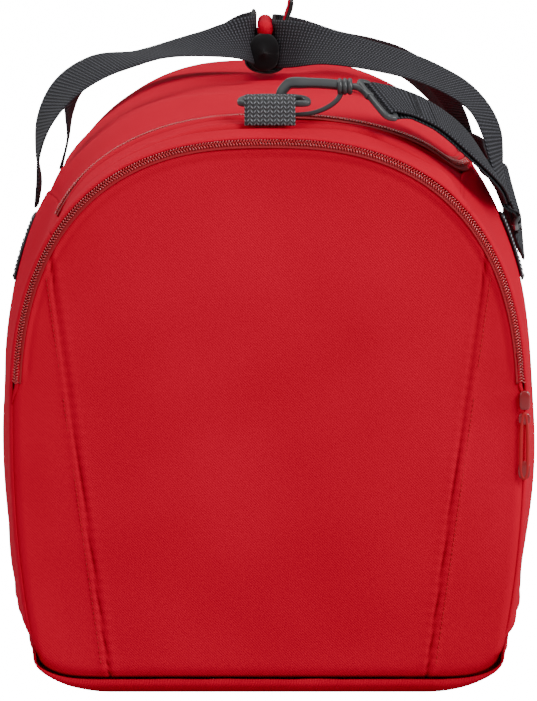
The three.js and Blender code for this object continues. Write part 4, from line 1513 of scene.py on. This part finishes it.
@dataclass
class Handles:
    """The two carry handles, their patches, and the padded wrap that holds them together."""

    form: BodyForm
    webbing: Material
    patch: Material
    padding: Material
    red: Material
    thread: Material
    left: tuple = ((-175.5, -190, 339), (-173.5, -190, 356), (-174, -189, 378), (-168, -183, 404),
                   (-152, -171, 428),
                   (-128, -156, 443), (-94, -136, 450), (-56, -106, 455), (-30, -82, 457), (-12, -60, 458),
                   (-12, -28, 458))
    left_rear: tuple = ((-12, 28, 458), (-12, 60, 457), (-30, 82, 451), (-56, 106, 445), (-94, 136, 438),
                        (-124, 158, 431), (-148, 174, 420), (-163, 184, 404), (-168, 189, 384),
                        (-169.5, 190, 364),
                        (-175.5, 190, 339))
    left_across: tuple = ((0, 1, 0), (0.03, 1, 0), (-0.1, 0.98, 0.05), (-0.3, 0.92, 0.16), (-0.36, 0.84, 0.34),
                          (-0.22, 0.88, 0.38), (-0.05, 0.97, 0.16), (0, 0.93, 0.32), (0, 0.8, 0.55),
                          (0, 0.25, 0.95), (0, 0, 1))
    right: tuple = ((184.5, -190, 338), (180, -190, 350), (174.5, -190, 364), (171.5, -190, 379),
                    (168.5, -188.5, 394),
                    (161, -182, 410), (145, -170, 425), (121, -152, 437), (90, -128, 446), (50, -98, 453),
                    (22, -76, 455),
                    (5, -56, 455), (5, -28, 455))
    right_rear: tuple = ((5, 28, 455), (5, 56, 455), (20, 76, 452), (44, 98, 448), (78, 126, 443),
                         (104, 148, 436),
                         (126, 166, 424), (143, 179, 408), (155, 187, 392), (163, 190, 376), (170, 190, 362),
                         (177.5, 190, 350), (184.5, 190, 338))
    right_across: tuple = ((0, 1, 0), (0.05, 1, 0), (0.2, 0.97, 0), (0.34, 0.93, 0), (0.42, 0.9, 0),
                           (0.42, 0.9, 0.05),
                           (0.35, 0.88, 0.22), (0.25, 0.9, 0.32), (0.15, 0.88, 0.42), (0.1, 0.8, 0.58),
                           (0, 0.5, 0.87),
                           (0, 0.1, 1), (0, 0, 1))
    grip_half: float = 58.0
    core_half: float = 72.0
    core_middle: tuple[float, float] = (-3.4, 449.0)
    trough: tuple = ((-17, 446), (-16.5, 439), (-12, 434.5), (-4, 432.5), (5, 433), (11, 436.5),
                     (13.2, 443), (13.8, 464))
    flap: tuple = ((13.9, 465.2), (14.8, 474), (17.4, 482), (18.4, 488))

    def build_handle(self, name: str, front: tuple, rear: tuple, across: tuple) -> None:
        """One handle from its front foot, through the wrap, to its rear foot, where it hangs lower.

        Args:
            name: the handle's body and node.
            front: the path of its front half.
            rear: the path of its rear half.
            across: the way the front half's width lies at each point.
        """
        mirror = np.vstack([np.asarray(across, float), np.asarray(across[::-1], float) * [-1, 1, -1]])
        band = Band(np.vstack([front, rear]).astype(float), mirror)
        piece = band.make(f"{name}_webbing")
        dress(piece, self.webbing, name, "webbing", name)

    def build_patches(self) -> None:
        """The woven patches under the feet of the handles, with a stitched edge."""
        for end in End:
            for name, sign in (("left", -1), ("right", 1)):
                node = f"{end.word}_{name}_handle_patch"
                low, high = node_box(node)
                s_top, s_foot = (self.form.distance_at_z(z) for z in (high[2], low[2]))
                s, y = np.meshgrid(np.linspace(s_top, s_foot, 34), np.linspace(low[1], high[1], 34), indexing="ij")
                edge = np.minimum(np.minimum(s - s_top, s_foot - s), np.minimum(y - low[1], high[1] - y))
                relief = 1.7 + 0.7 * bell(edge - 2.5, 2.0) - 0.5 * bell(edge - 5.5, 1.0) - 0.8 * bell(edge, 0.8)
                grid = self.form.raised(sign * s, y, relief)
                normal = self.form.normal(sign * s, y)
                piece = cloth(f"{node}_cloth", grid, normal, np.stack([s, y - low[1]], axis=-1), 0 * s, 1.6)
                dress(piece, self.patch, "shell", "patch_weave", node)
                self.build_patch_stitches(f"{node}_stitches", grid, normal)

    def build_patch_stitches(self, name: str, grid: Array, normal: Array) -> None:
        """A row of stitches round a patch, just inside its edge.

        Args:
            name: the piece's name.
            grid: the patch's points.
            normal: its outward normals.
        """
        rows = len(grid)
        t = np.linspace(2, rows - 3, 14)
        near, far = np.full_like(t, 2.0), np.full_like(t, rows - 3.0)
        i = np.concatenate([near, t, far, t[::-1]]).astype(int)
        j = np.concatenate([t, far, t[::-1], near]).astype(int)
        ring, out = grid[i, j], normal[i, j]
        way = tangents(ring, closed=True)
        way = unit(way - out * np.sum(way * out, axis=1, keepdims=True))
        vertices, faces = bead(1.1, 0.3, 0.3, 6)
        piece = scatter(name, vertices, faces, ring + out * 0.2, way, np.cross(out, way), out)
        dress(piece, self.thread, "shell", "webbing")

    @staticmethod
    def padded_strip(name: str, profile: Array, thick: float, half: float, swell: float) -> Piece:
        """A padded sheet along Y whose section is this profile with a rounded outline.

        Args:
            name: the piece's name.
            profile: points of its middle line in X and Z.
            thick: its thickness.
            half: half its length.
            swell: how much it swells between its ends.

        Returns:
            The object, a closed skin.
        """
        line = spline(np.column_stack([profile[:, 0], np.zeros(len(profile)), profile[:, 1]]), 40)[:, [0, 2]]
        way = unit(np.gradient(line, axis=0))
        out = np.stack([way[:, 1], -way[:, 0]], axis=1)
        cover = out * (thick / 2 * rounded_ends(np.linspace(-1, 1, 40), 16, 0.04))[:, None]
        ring = np.vstack([line + cover, (line - cover)[::-1]])
        v = np.sin(np.linspace(-1, 1, 70) * np.pi / 2)
        middle = np.vstack([line, line[::-1]])
        size = rounded_ends(v, 10, 0.0)
        scale = (0.35 + 0.65 * size + swell * (1 - v**2))[:, None, None]
        shape = middle[None] + (ring - middle)[None] * scale
        y = np.broadcast_to((v * half)[:, None], shape.shape[:2])
        wrinkle = 0.35 * np.sin(y / 6.5 + shape[..., 1] / 5.0) * size[:, None]
        points = np.stack([shape[..., 0] + wrinkle, y, shape[..., 1]], axis=-1)
        rows, count = points.shape[:2]
        faces = list(grid_faces(rows, count, closed_columns=True)[:, ::-1])
        first, last = np.arange(count), (rows - 1) * count + np.arange(count)
        k = np.arange(count // 2 - 1)
        other = count - 1 - k
        faces += list(np.stack([first[k], first[k + 1], first[other - 1], first[other]], axis=1))
        faces += list(np.stack([last[other], last[other - 1], last[k + 1], last[k]], axis=1))
        uv = np.stack(np.broadcast_arrays(y, shape[..., 1]), axis=-1).reshape(-1, 2)
        return open_cloth(finish_mesh(name, points.reshape(-1, 3), faces, uv))

    def build_grip(self) -> None:
        """The wrap under both handles, its flap standing up, the red lining, and the sleeve on the left handle."""
        wrap = self.padded_strip("grip_wrap_pad", np.array(self.trough, float), 3.4, self.grip_half, 0.25)
        dress(seated(wrap, "grip_wrap"), self.padding, "right_handle", "grip_padding", "grip_wrap")
        flap = self.padded_strip("grip_flap_pad", np.array(self.flap, float), 2.6, self.grip_half, 0.2)
        dress(seated(flap, "grip_flap"), self.padding, "grip_flap", "grip_padding", "grip_flap")
        inner = np.array(self.flap, float) - [1.9, 0]
        lining = self.padded_strip("grip_flap_lining", inner, 0.8, self.grip_half - 3, 0.0)
        dress(lining, self.red, "grip_flap", "red_cloth")
        self.build_core()
        y = np.linspace(-self.grip_half + 4, self.grip_half - 4, 90)
        path = np.stack([np.full_like(y, self.left[-1][0]), y, np.full_like(y, self.left[-1][2] + 0.5)], axis=1)
        sleeve = sweep("left_grip_sleeve", path, np.array([0, 0, 1.0]), oval(20.6, 2.7, 40, 3.2),
                       scale=rounded_ends(np.linspace(-1, 1, 90), 12, 0.15), uv_width=np.linspace(0, 90, 40))
        dress(open_cloth(sleeve), self.padding, "left_handle", "grip_padding")

    def build_core(self) -> None:
        """The black padding between the handles, which flares out at both ends of the wrap."""
        y = np.linspace(-self.core_half, self.core_half, 120)
        flare = smoothstep(np.abs(y), 56, 70)
        close = rounded_ends(y / self.core_half, 22, 0.0004)
        turn = np.linspace(0, 2 * np.pi, 48, endpoint=False)
        wide = ((6.4 + 7.6 * flare) * close)[:, None]
        tall = ((14.5 + 1.5 * flare) * close)[:, None]
        x = self.core_middle[0] + wide * bent(np.cos(turn), 0.8)[None]
        z = self.core_middle[1] + tall * bent(np.sin(turn), 0.8)[None] + 0.4 * np.sin(y / 5.0)[:, None]
        points = np.stack([x, np.broadcast_to(y[:, None], x.shape), z], axis=-1)
        faces = list(grid_faces(120, 48, closed_columns=True))
        faces += [np.arange(48)[::-1], 119 * 48 + np.arange(48)]
        uv = np.stack(np.broadcast_arrays(y[:, None], 20 * turn[None]), axis=-1).reshape(-1, 2)
        core = open_cloth(finish_mesh("grip_core", points.reshape(-1, 3), faces, uv))
        dress(core, self.padding, "right_handle", "grip_padding")
        line = np.stack([np.full(90, -2.8), np.linspace(-67, 67, 90), np.full(90, 466.5)], axis=1)
        lining = sweep("grip_red_lining", line, np.array([1.0, 0, 0]), oval(6.2, 7.2, 28, 2.4),
                       scale=rounded_ends(np.linspace(-1, 1, 90), 20, 0.05), uv_width=np.linspace(0, 40, 28))
        dress(open_cloth(lining), self.red, "right_handle", "red_cloth")

    def build(self) -> None:
        """Makes the handles, patches and grip."""
        self.build_handle("left_handle", self.left, self.left_rear, self.left_across)
        self.build_handle("right_handle", self.right, self.right_rear, self.right_across)
        self.build_patches()
        self.build_grip()


@dataclass
class ShoulderStrap:
    """The strap: one length of webbing from the front eye over the shoulder and side to the rear eye."""

    webbing: Material
    plastic: Material
    thread: Material
    eye: tuple = (82.0, -338.0, 427.0)
    eye_bar: tuple = (-0.42, 0.72, 0.5)
    eye_axis: tuple = (0.88, 0.36, -0.3)
    front: tuple = ((116, -319, 415), (139, -303, 397), (159, -274, 375), (167, -232, 360), (168.5, -200, 358),
                    (171.5, -178, 355))
    front_across: tuple = ((-0.35, 0.74, 0.55), (-0.3, 0.68, 0.65), (-0.5, 0.4, 0.78), (-0.56, 0.05, 0.83),
                           (-0.5, 0, 0.86), (-0.45, 0, 0.89))
    glide: tuple = (186.0, -124.0, 339.0)
    glide_axis: tuple = (3.0, 30.0, -9.0)
    glide_across: tuple = (-0.28, 0.0, 0.96)
    glide_half: tuple[float, float] = (22.2, 13.2)
    straight: tuple = (-32, -10, 10, 32, 56)
    middle: tuple = ((196, -60, 312), (201.5, -28, 301))
    middle_across: tuple = ((-0.2, 0, 0.98), (-0.1, 0, 1))
    turn: tuple = ((13, 3.1), (7, 3.3), (2, 3.5), (-2.2, 3.0), (-3.9, 1.5), (-4.1, 0), (-3.9, -1.5), (-2.2, -3.0),
                   (2, -3.3), (7, -1.6))
    layer: float = 3.1
    tack_rows: tuple = (19.0, 23.0, 37.0)

    def frame_of_eye(self) -> tuple[Array, Array, Array, Array]:
        """The front eye's own directions.

        Returns:
            Its middle, its axis towards the strap, its bar, and the way its face looks.
        """
        bar = unit(np.array(self.eye_bar))
        axis = np.array(self.eye_axis)
        axis = unit(axis - bar * np.dot(axis, bar))
        return np.array(self.eye), axis, bar, np.cross(axis, bar)

    def lines(self) -> tuple[Array, Array, Array]:
        """The strap's own curve, evenly spaced from eye to eye.

        Returns:
            Its points, and the across direction and outward face at each.
        """
        eye, axis, bar, _ = self.frame_of_eye()
        along = unit(np.array(self.glide_axis))
        straight = [np.array(self.glide) + d * along for d in self.straight]
        points = [eye + 5 * axis, eye + 16 * axis, *self.front, *straight, *self.middle]
        across = [bar, bar, *self.front_across, *[self.glide_across] * len(self.straight), *self.middle_across]
        across = np.asarray(across, float)
        whole = np.vstack([across, across[::-1] * [1, -1, 1]])
        path, side = Band(both_halves(points), whole).line()
        way = tangents(path)
        side = unit(side - way * np.sum(side * way, axis=1, keepdims=True))
        return path, side, np.cross(way, side)

    def loop(self, end: End) -> tuple[Array, Array]:
        """The turn round an eye's bar, from the outer layer to the inner one.

        Args:
            end: which end.

        Returns:
            Its points and the across direction at each.
        """
        eye, axis, bar, face = self.frame_of_eye()
        points = np.array([eye + a * axis + n * face for a, n in self.turn])
        side = np.repeat(bar[None], len(points), axis=0)
        return mirrored(points, end), mirrored(side, end)

    def build_webbing(self) -> None:
        """One strip: the outer layer, the turn round the front eye, the strap, and the turn at the rear."""
        path, side, face = self.lines()
        run = run_along(path)
        inner = (run > 13) & (run < run[-1] - 13)
        back = np.abs(path[:, 1] - (self.glide[1] + 0.95 * 44)).argmin()
        outer_front = (run > 13) & (np.arange(len(path)) < back)
        outer_rear = (run < run[-1] - 13) & (run > run[-1] - 26)
        lift = self.layer * face
        front_points, front_side = self.loop(End.FRONT)
        rear_points, rear_side = self.loop(End.REAR)
        points = np.vstack([(path + lift)[outer_front][::-4], front_points, path[inner][::4], rear_points[::-1],
                            (path + lift)[outer_rear][::-4]])
        across = np.vstack([side[outer_front][::-4], front_side, side[inner][::4], rear_side[::-1],
                            side[outer_rear][::-4]])
        piece = Band(points, across).make("strap_webbing")
        dress(piece, self.webbing, "shell", "webbing", "strap", "strap_return", "strap_end_fold")
        self.build_stitching(path, side, face, run)

    def build_stitching(self, path: Array, side: Array, face: Array, run: Array) -> None:
        """The bar tacks that close the webbing behind each eye.

        Args:
            path: the strap's points.
            side: its across directions.
            face: its outward faces.
            run: the distance along it.
        """
        vertices, faces = bead(1.2, 0.3, 0.3, 6)
        for end in End:
            places, ways, outs = [], [], []
            for row in self.tack_rows:
                k = np.abs((run if end is End.FRONT else run[-1] - run) - row).argmin()
                across = np.linspace(-15, 15, 12)[:, None]
                places.append(path[k] + side[k] * across + face[k] * (self.layer + 1.15))
                ways.append(np.repeat(side[k][None], 12, axis=0))
                outs.append(np.repeat(face[k][None], 12, axis=0))
            way, out = np.vstack(ways), np.vstack(outs)
            piece = scatter(f"{end.word}_strap_stitches", vertices, faces, np.vstack(places), way,
                            np.cross(out, way), out)
            dress(piece, self.thread, "shell", "webbing")

    def build_adjuster(self) -> None:
        """The tri-glide: a rounded frame round the webbing, with a middle bar behind it."""
        along = unit(np.array(self.glide_axis))
        across = np.array(self.glide_across)
        across = unit(across - along * np.dot(across, along))
        face = np.cross(along, across)
        centre = np.array(self.glide)
        turn = np.linspace(0, 2 * np.pi, 120, endpoint=False)
        half_wide, half_long = self.glide_half
        x, y = half_wide * bent(np.cos(turn), 2 / 9), half_long * bent(np.sin(turn), 2 / 9)
        over = 3.3 * smoothstep(half_wide - np.abs(x), 0.3, 2.8)
        ring = resample(np.stack([x, y, over], axis=1)[np.r_[0:120, 0]], 161)[:-1]
        path = centre + ring[:, :1] * across + ring[:, 1:2] * along + ring[:, 2:] * face
        frame = sweep("adjuster_frame", path, face, oval(2.0, 2.2, 14, 3.0), closed=True)
        dress(seated(frame, "strap_adjuster"), self.plastic, "strap_adjuster", "grey_plastic", "strap_adjuster")
        bar_line = centre + np.linspace(-21, 21, 24)[:, None] * across - face * 2.9
        bar = sweep("adjuster_bar", bar_line, face, oval(1.3, 2.6, 14, 3.0))
        dress(bar, self.plastic, "strap_adjuster", "grey_plastic")

    def build(self) -> None:
        """Makes the strap and its adjuster."""
        self.build_webbing()
        self.build_adjuster()


@dataclass
class SnapHook:
    """A snap hook on its ring: tab, ring, hook with collar, gate and eye, at one end of the bag."""

    end: End
    plastic: Material
    tab: Material
    strap: ShoulderStrap
    hook_y: float = -331.0
    axis_z: float = 437.0
    collar: tuple[float, float] = (49.5, 60.5)
    ring_bar: tuple[float, float, float] = (4.0, -344.0, 425.5)
    ring_half: float = 24.6
    ring_depth: float = 18.2
    tab_profile: tuple = ((-354, 410.4), (-351.8, 418), (-349.6, 426), (-347.6, 429.8), (-344.4, 431.3),
                          (-341.4, 429.9), (-339.6, 426), (-338.6, 420), (-338, 414))
    arm: tuple = ((51.5, 438), (44, 438.8), (36, 439.3), (24, 439.6), (17.5, 439.6), (14.8, 439), (11.4, 435.8),
                  (9.6, 433.2), (9, 430), (9, 427), (9.4, 423), (10.2, 420.2), (13, 418))
    gate: tuple = ((52.5, 432.5), (49.6, 427.5), (43, 422.3), (32, 418), (17.5, 416.5))

    def build_tab(self) -> None:
        """The webbing loop over the ring's bar."""
        points = mirrored(np.array([(1.0, y, z) for y, z in self.tab_profile]), self.end)
        band = Band(points, np.tile([1.0, 0, 0], (len(points), 1)), width=36.6, thick=2.2)
        name = f"{self.end.word}_ring_tab"
        dress(seated(band.make(f"{name}_webbing"), name), self.tab, "shell", "webbing", name)

    def build_ring(self) -> None:
        """The D-ring: a straight bar and a bow, with a flattened oval section."""
        bow = np.linspace(0, np.pi, 60)
        arc = np.stack([self.ring_half * bent(np.cos(bow), 0.62), self.ring_depth * np.sin(bow) ** 0.7], axis=1)
        bar = np.stack([np.linspace(-self.ring_half, self.ring_half, 30)[1:-1], np.zeros(28)], axis=1)
        ring = np.vstack([arc, bar])
        for _ in range(6):
            ring = (np.roll(ring, 1, axis=0) + 2 * ring + np.roll(ring, -1, axis=0)) / 4
        ring = resample(ring[np.r_[0 : len(ring), 0]], 141)[:-1]
        deep = unit(np.array([0, 0.97, 0.2]))
        path = np.array(self.ring_bar) + ring[:, :1] * np.array([1.0, 0, 0]) + ring[:, 1:] * deep
        flat = mirrored(np.cross([1.0, 0, 0], deep), self.end)
        name = f"{self.end.word}_d_ring"
        piece = sweep(f"{name}_loop", mirrored(path, self.end), flat, oval(2.3, 2.3, 16, 3.4), closed=True)
        dress(seated(piece, name), self.plastic, name, "grey_plastic", name)

    def in_hook_plane(self, corners: Sequence[Sequence[float]], count: int) -> Array:
        """A smooth path through corners given as x, z in the hook's plane, as this many points."""
        return spline(mirrored(np.array([(x, self.hook_y, z) for x, z in corners]), self.end), count)

    def build_hook(self) -> None:
        """The hook's arm with its mitred bend and nose, and the turned collar with three rings."""
        path = self.in_hook_plane(self.arm, 90)
        share = np.linspace(0, 1, 90)
        size = 1 + 0.12 * bell(share - 0.5, 0.12) - 0.3 * smoothstep(share, 0.84, 1)
        name = f"{self.end.word}_hook"
        turned = oval(3.3, 3.3, 16, 5.0) @ np.array([[0.9239, 0.3827], [-0.3827, 0.9239]])
        arm = sweep(f"{name}_arm", path, np.array([0, 1.0, 0]), turned, scale=size)
        dress(arm, self.plastic, name, "grey_plastic", name)
        low, high = self.collar
        x = np.linspace(low, high, 90)
        groove = (x - low) / (high - low) * 3
        rings = 0.72 + 0.28 * np.abs(np.sin(np.pi * groove)) ** 0.45
        rings[0] = rings[-1] = 0.45
        line = mirrored(np.stack([x, np.full_like(x, self.hook_y), np.full_like(x, self.axis_z)], axis=1), self.end)
        collar = sweep(f"{name}_collar", line, np.array([0, 1.0, 0]), oval(6.1, 6.1, 32), scale=rings)
        dress(collar, self.plastic, name, "grey_plastic")

    def build_gate(self) -> None:
        """The gate: a thin curved bar that closes the hook."""
        path = self.in_hook_plane(self.gate, 50)
        name = f"{self.end.word}_hook_gate"
        piece = sweep(f"{name}_bar", path, np.array([0, 1.0, 0]), oval(1.8, 1.8, 14, 2.6),
                      scale=np.linspace(1.1, 0.85, 50))
        dress(piece, self.plastic, name, "grey_plastic", name)

    def build_eye(self) -> None:
        """The eye: a rounded frame for the strap, and the stem that runs into the collar."""
        eye, axis, bar, face = self.strap.frame_of_eye()
        centre = eye - 4.75 * axis
        turn = np.linspace(0, 2 * np.pi, 100, endpoint=False)
        x, y = 22.7 * bent(np.cos(turn), 2 / 7), 5.0 * bent(np.sin(turn), 2 / 4)
        ring = resample(np.stack([x, y], axis=1)[np.r_[0:100, 0]], 121)[:-1]
        path = mirrored(centre + ring[:, :1] * bar + ring[:, 1:] * axis, self.end)
        name = f"{self.end.word}_hook_eye"
        piece = sweep(f"{name}_frame", path, mirrored(face, self.end), oval(2.1, 2.2, 14, 3.6), closed=True)
        dress(piece, self.plastic, "shell", "grey_plastic", name)
        corners = [(self.collar[1] - 0.1, self.hook_y, self.axis_z), (64, self.hook_y - 0.6, 436.6),
                   (68, -333.2, 434.6), tuple(centre - 5.2 * axis + 3 * bar)]
        stem = sweep(f"{name}_stem", spline(mirrored(np.array(corners), self.end), 30), np.array([0, 1.0, 0.3]),
                     oval(3.2, 2.6, 16, 3.0), scale=np.linspace(0.85, 1.05, 30))
        dress(stem, self.plastic, "shell", "grey_plastic")

    def build(self) -> None:
        """Makes every piece of the hook."""
        self.build_tab()
        self.build_ring()
        self.build_hook()
        self.build_gate()
        self.build_eye()


@dataclass
class Pulls:
    """The zip sliders and the cord pulls that hang from them."""

    lacquer: Material
    cord: Material

    @staticmethod
    def pebble(name: str, low: Array, high: Array, power: float) -> Piece:
        """A superellipsoid that fills a box: each axis is half * sign(c) |c|^(2/n).

        Args:
            name: the piece's name.
            low: the box's low corner.
            high: its high corner.
            power: n: 2 for an ellipsoid, and boxier above that.

        Returns:
            The object.
        """
        u = np.linspace(-np.pi / 2, np.pi / 2, 22)[:, None]
        v = np.linspace(0, 2 * np.pi, 32, endpoint=False)[None]
        bend = 2 / power
        ring, rise = np.maximum(np.cos(u), 0.02) ** bend, bent(np.sin(u), bend)
        points = np.stack([ring * bent(np.cos(v), bend), ring * bent(np.sin(v), bend), rise + 0 * v], axis=-1)
        points = (low + high) / 2 + points * (high - low) / 2
        faces = list(grid_faces(22, 32, closed_columns=True))
        faces += [np.arange(32)[::-1], 21 * 32 + np.arange(32)]
        return finish_mesh(name, points.reshape(-1, 3), faces)

    def build_slider(self, body: str) -> None:
        """A slider: a rounded block that fills the box of its body's node."""
        dress(self.pebble(f"{body}_body", *node_box(body), 3.6), self.lacquer, body, "grey_plastic", body)

    def build_pull(self, body: str, along: int, toward: int) -> None:
        """A pull: a doubled cord between a small ring at the slider and a moulded end.

        Args:
            body: its CAD body and node.
            along: the axis that it lies along.
            toward: 1 where the slider is at the high end of that axis, -1 where it is at the low end.
        """
        low, high = node_box(body)
        middle, half = (low + high) / 2, (high - low) / 2
        others = [k for k in range(3) if k != along]
        thin = min(others, key=lambda k: half[k])
        wide = [k for k in others if k != thin][0]
        turn = np.linspace(0, 2 * np.pi, 90, endpoint=False)
        reach = half[along] - 1.4
        path = np.tile(middle, (90, 1))
        path[:, along] += reach * bent(np.cos(turn), 0.55)
        path[:, wide] += 0.55 * half[wide] * np.sin(turn) * (1 + 0.25 * np.cos(turn) * -toward)
        side = np.zeros(3)
        side[thin] = 1.0
        cord = sweep(f"{body}_cord", path, side, oval(1.1, 1.3, 12), closed=True)
        dress(cord, self.cord, body, "red_cloth", body)
        for word, place, size in (("ring", toward * (reach - 4), 4.2), ("tip", -toward * (reach - 6), 6.5)):
            centre = middle.copy()
            centre[along] += place
            box = np.array([size if k == along else (half[k] * (0.95 if k == wide else 1.0)) for k in range(3)])
            piece = self.pebble(f"{body}_{word}", centre - box, centre + box, 2.8)
            dress(piece, self.lacquer, body, "red_cloth")

    def build(self) -> None:
        """Makes the four sliders and pulls."""
        for end in End:
            self.build_slider(f"{end.word}_zip_slider")
            self.build_pull(f"{end.word}_zip_pull", 2, 1)
            self.build_slider(f"{end.word}_lid_slider")
            self.build_pull(f"{end.word}_lid_pull", 1, -end.value)


# ---- Studio

@dataclass
class Studio:
    """A pale floor and backdrop, soft lights, and the camera."""

    distance: float = 3.0
    eye_height: float = 0.609
    pitch: float = 6.811
    lens: float = 216.84
    floor_glow: float = 16.0
    surround: float = 0.42
    lamps: tuple = (("key", (1.7, -2.2, 2.3), (0, -0.1, 0.35), 1.4, 72),
                    ("side", (2.6, -0.7, 0.9), (0.1, -0.2, 0.25), 1.0, 34),
                    ("fill", (-1.8, -2.4, 1.5), (0, -0.1, 0.35), 2.0, 17),
                    ("top", (-0.3, 0.1, 2.2), (0, 0, 0.3), 1.6, 22),
                    ("edge", (-1.7, 0.9, 1.3), (-0.1, 0, 0.35), 0.8, 12))

    def build_floor(self) -> None:
        """A pale floor as wide as the view needs."""
        corners = np.array([[-12, -5, 0], [12, -5, 0], [12, 60, 0], [-12, 60, 0]]) / MM
        floor = finish_mesh("studio_floor", corners, [[0, 1, 2, 3]])
        material = bpy.data.materials.new("studio_floor")
        material.use_nodes = True
        shader = material.node_tree.nodes["Principled BSDF"]
        shader.inputs["Base Color"].default_value = (0.5, 0.5, 0.505, 1)
        shader.inputs["Roughness"].default_value = 0.7
        shader.inputs["Specular IOR Level"].default_value = 0.1
        shader.inputs["Emission Color"].default_value = (1, 1, 1, 1)
        graph = Graph(material.node_tree)
        seen = graph.add("ShaderNodeLightPath").outputs["Is Camera Ray"]
        graph.put(shader.inputs["Emission Strength"], graph.math("MULTIPLY", seen, self.floor_glow))
        floor.data.materials.append(material)

    def light(self, name: str, place: tuple, target: tuple, size: float, power: float) -> None:
        """A square area light.

        Args:
            name: its name.
            place: where it stands, in metres.
            target: where it looks.
            size: the length of its side.
            power: its power in watts.
        """
        lamp = bpy.data.lights.new(name, "AREA")
        lamp.size = size
        lamp.energy = power
        holder = bpy.data.objects.new(name, lamp)
        bpy.context.scene.collection.objects.link(holder)
        aim = np.array(target) - np.array(place)
        holder.location = place
        flat = math.hypot(aim[0], aim[1])
        holder.rotation_euler = (math.atan2(flat, -aim[2]), 0, math.atan2(-aim[0], aim[1]))

    def build_world(self) -> None:
        """An even white surround."""
        world = bpy.data.worlds.new("studio")
        world.use_nodes = True
        background = world.node_tree.nodes["Background"]
        background.inputs[0].default_value = (1, 1, 1, 1)
        background.inputs[1].default_value = self.surround
        bpy.context.scene.world = world

    def build_camera(self, front: float) -> None:
        """The camera, on the bag's middle line.

        Args:
            front: the y of the bag's front plane, in metres.
        """
        data = bpy.data.cameras.new("camera")
        data.lens = self.lens
        data.sensor_width = 36
        camera = bpy.data.objects.new("camera", data)
        bpy.context.scene.collection.objects.link(camera)
        camera.location = (0, front - self.distance, self.eye_height)
        camera.rotation_euler = (math.radians(90 - self.pitch), 0, 0)
        bpy.context.scene.camera = camera

    def build(self, front: float) -> None:
        """Makes the studio.

        Args:
            front: the y of the bag's front plane, in metres.
        """
        self.build_floor()
        self.build_world()
        for lamp in self.lamps:
            self.light(*lamp)
        self.build_camera(front)


def main() -> None:
    """Loads the frame and builds the bag around it."""
    logging.basicConfig(level=logging.INFO)
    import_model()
    palette = Palette()
    red, tape, padding, coil, thread, plastic, lacquer, webbing, patch, tab = (
        finish.make(palette) for finish in (RED, RED_TAPE, PADDING, COIL, THREAD, PLASTIC, LACQUER, WEBBING, PATCH, TAB))
    form = BodyForm.from_frame()
    LOG.info("body %.1f wide, %.1f high, ends at %.1f", 2 * form.half_width, form.height, form.end_plane)
    Shell(form, red, tape, coil, thread).build()
    Handles(form, webbing, patch, padding, red, webbing).build()
    strap = ShoulderStrap(webbing, plastic, webbing)
    strap.build()
    for end in End:
        SnapHook(end, plastic, tab, strap).build()
    Pulls(lacquer, thread).build()
    Studio().build(-form.end_plane * MM)


if __name__ == "__main__":
    main()
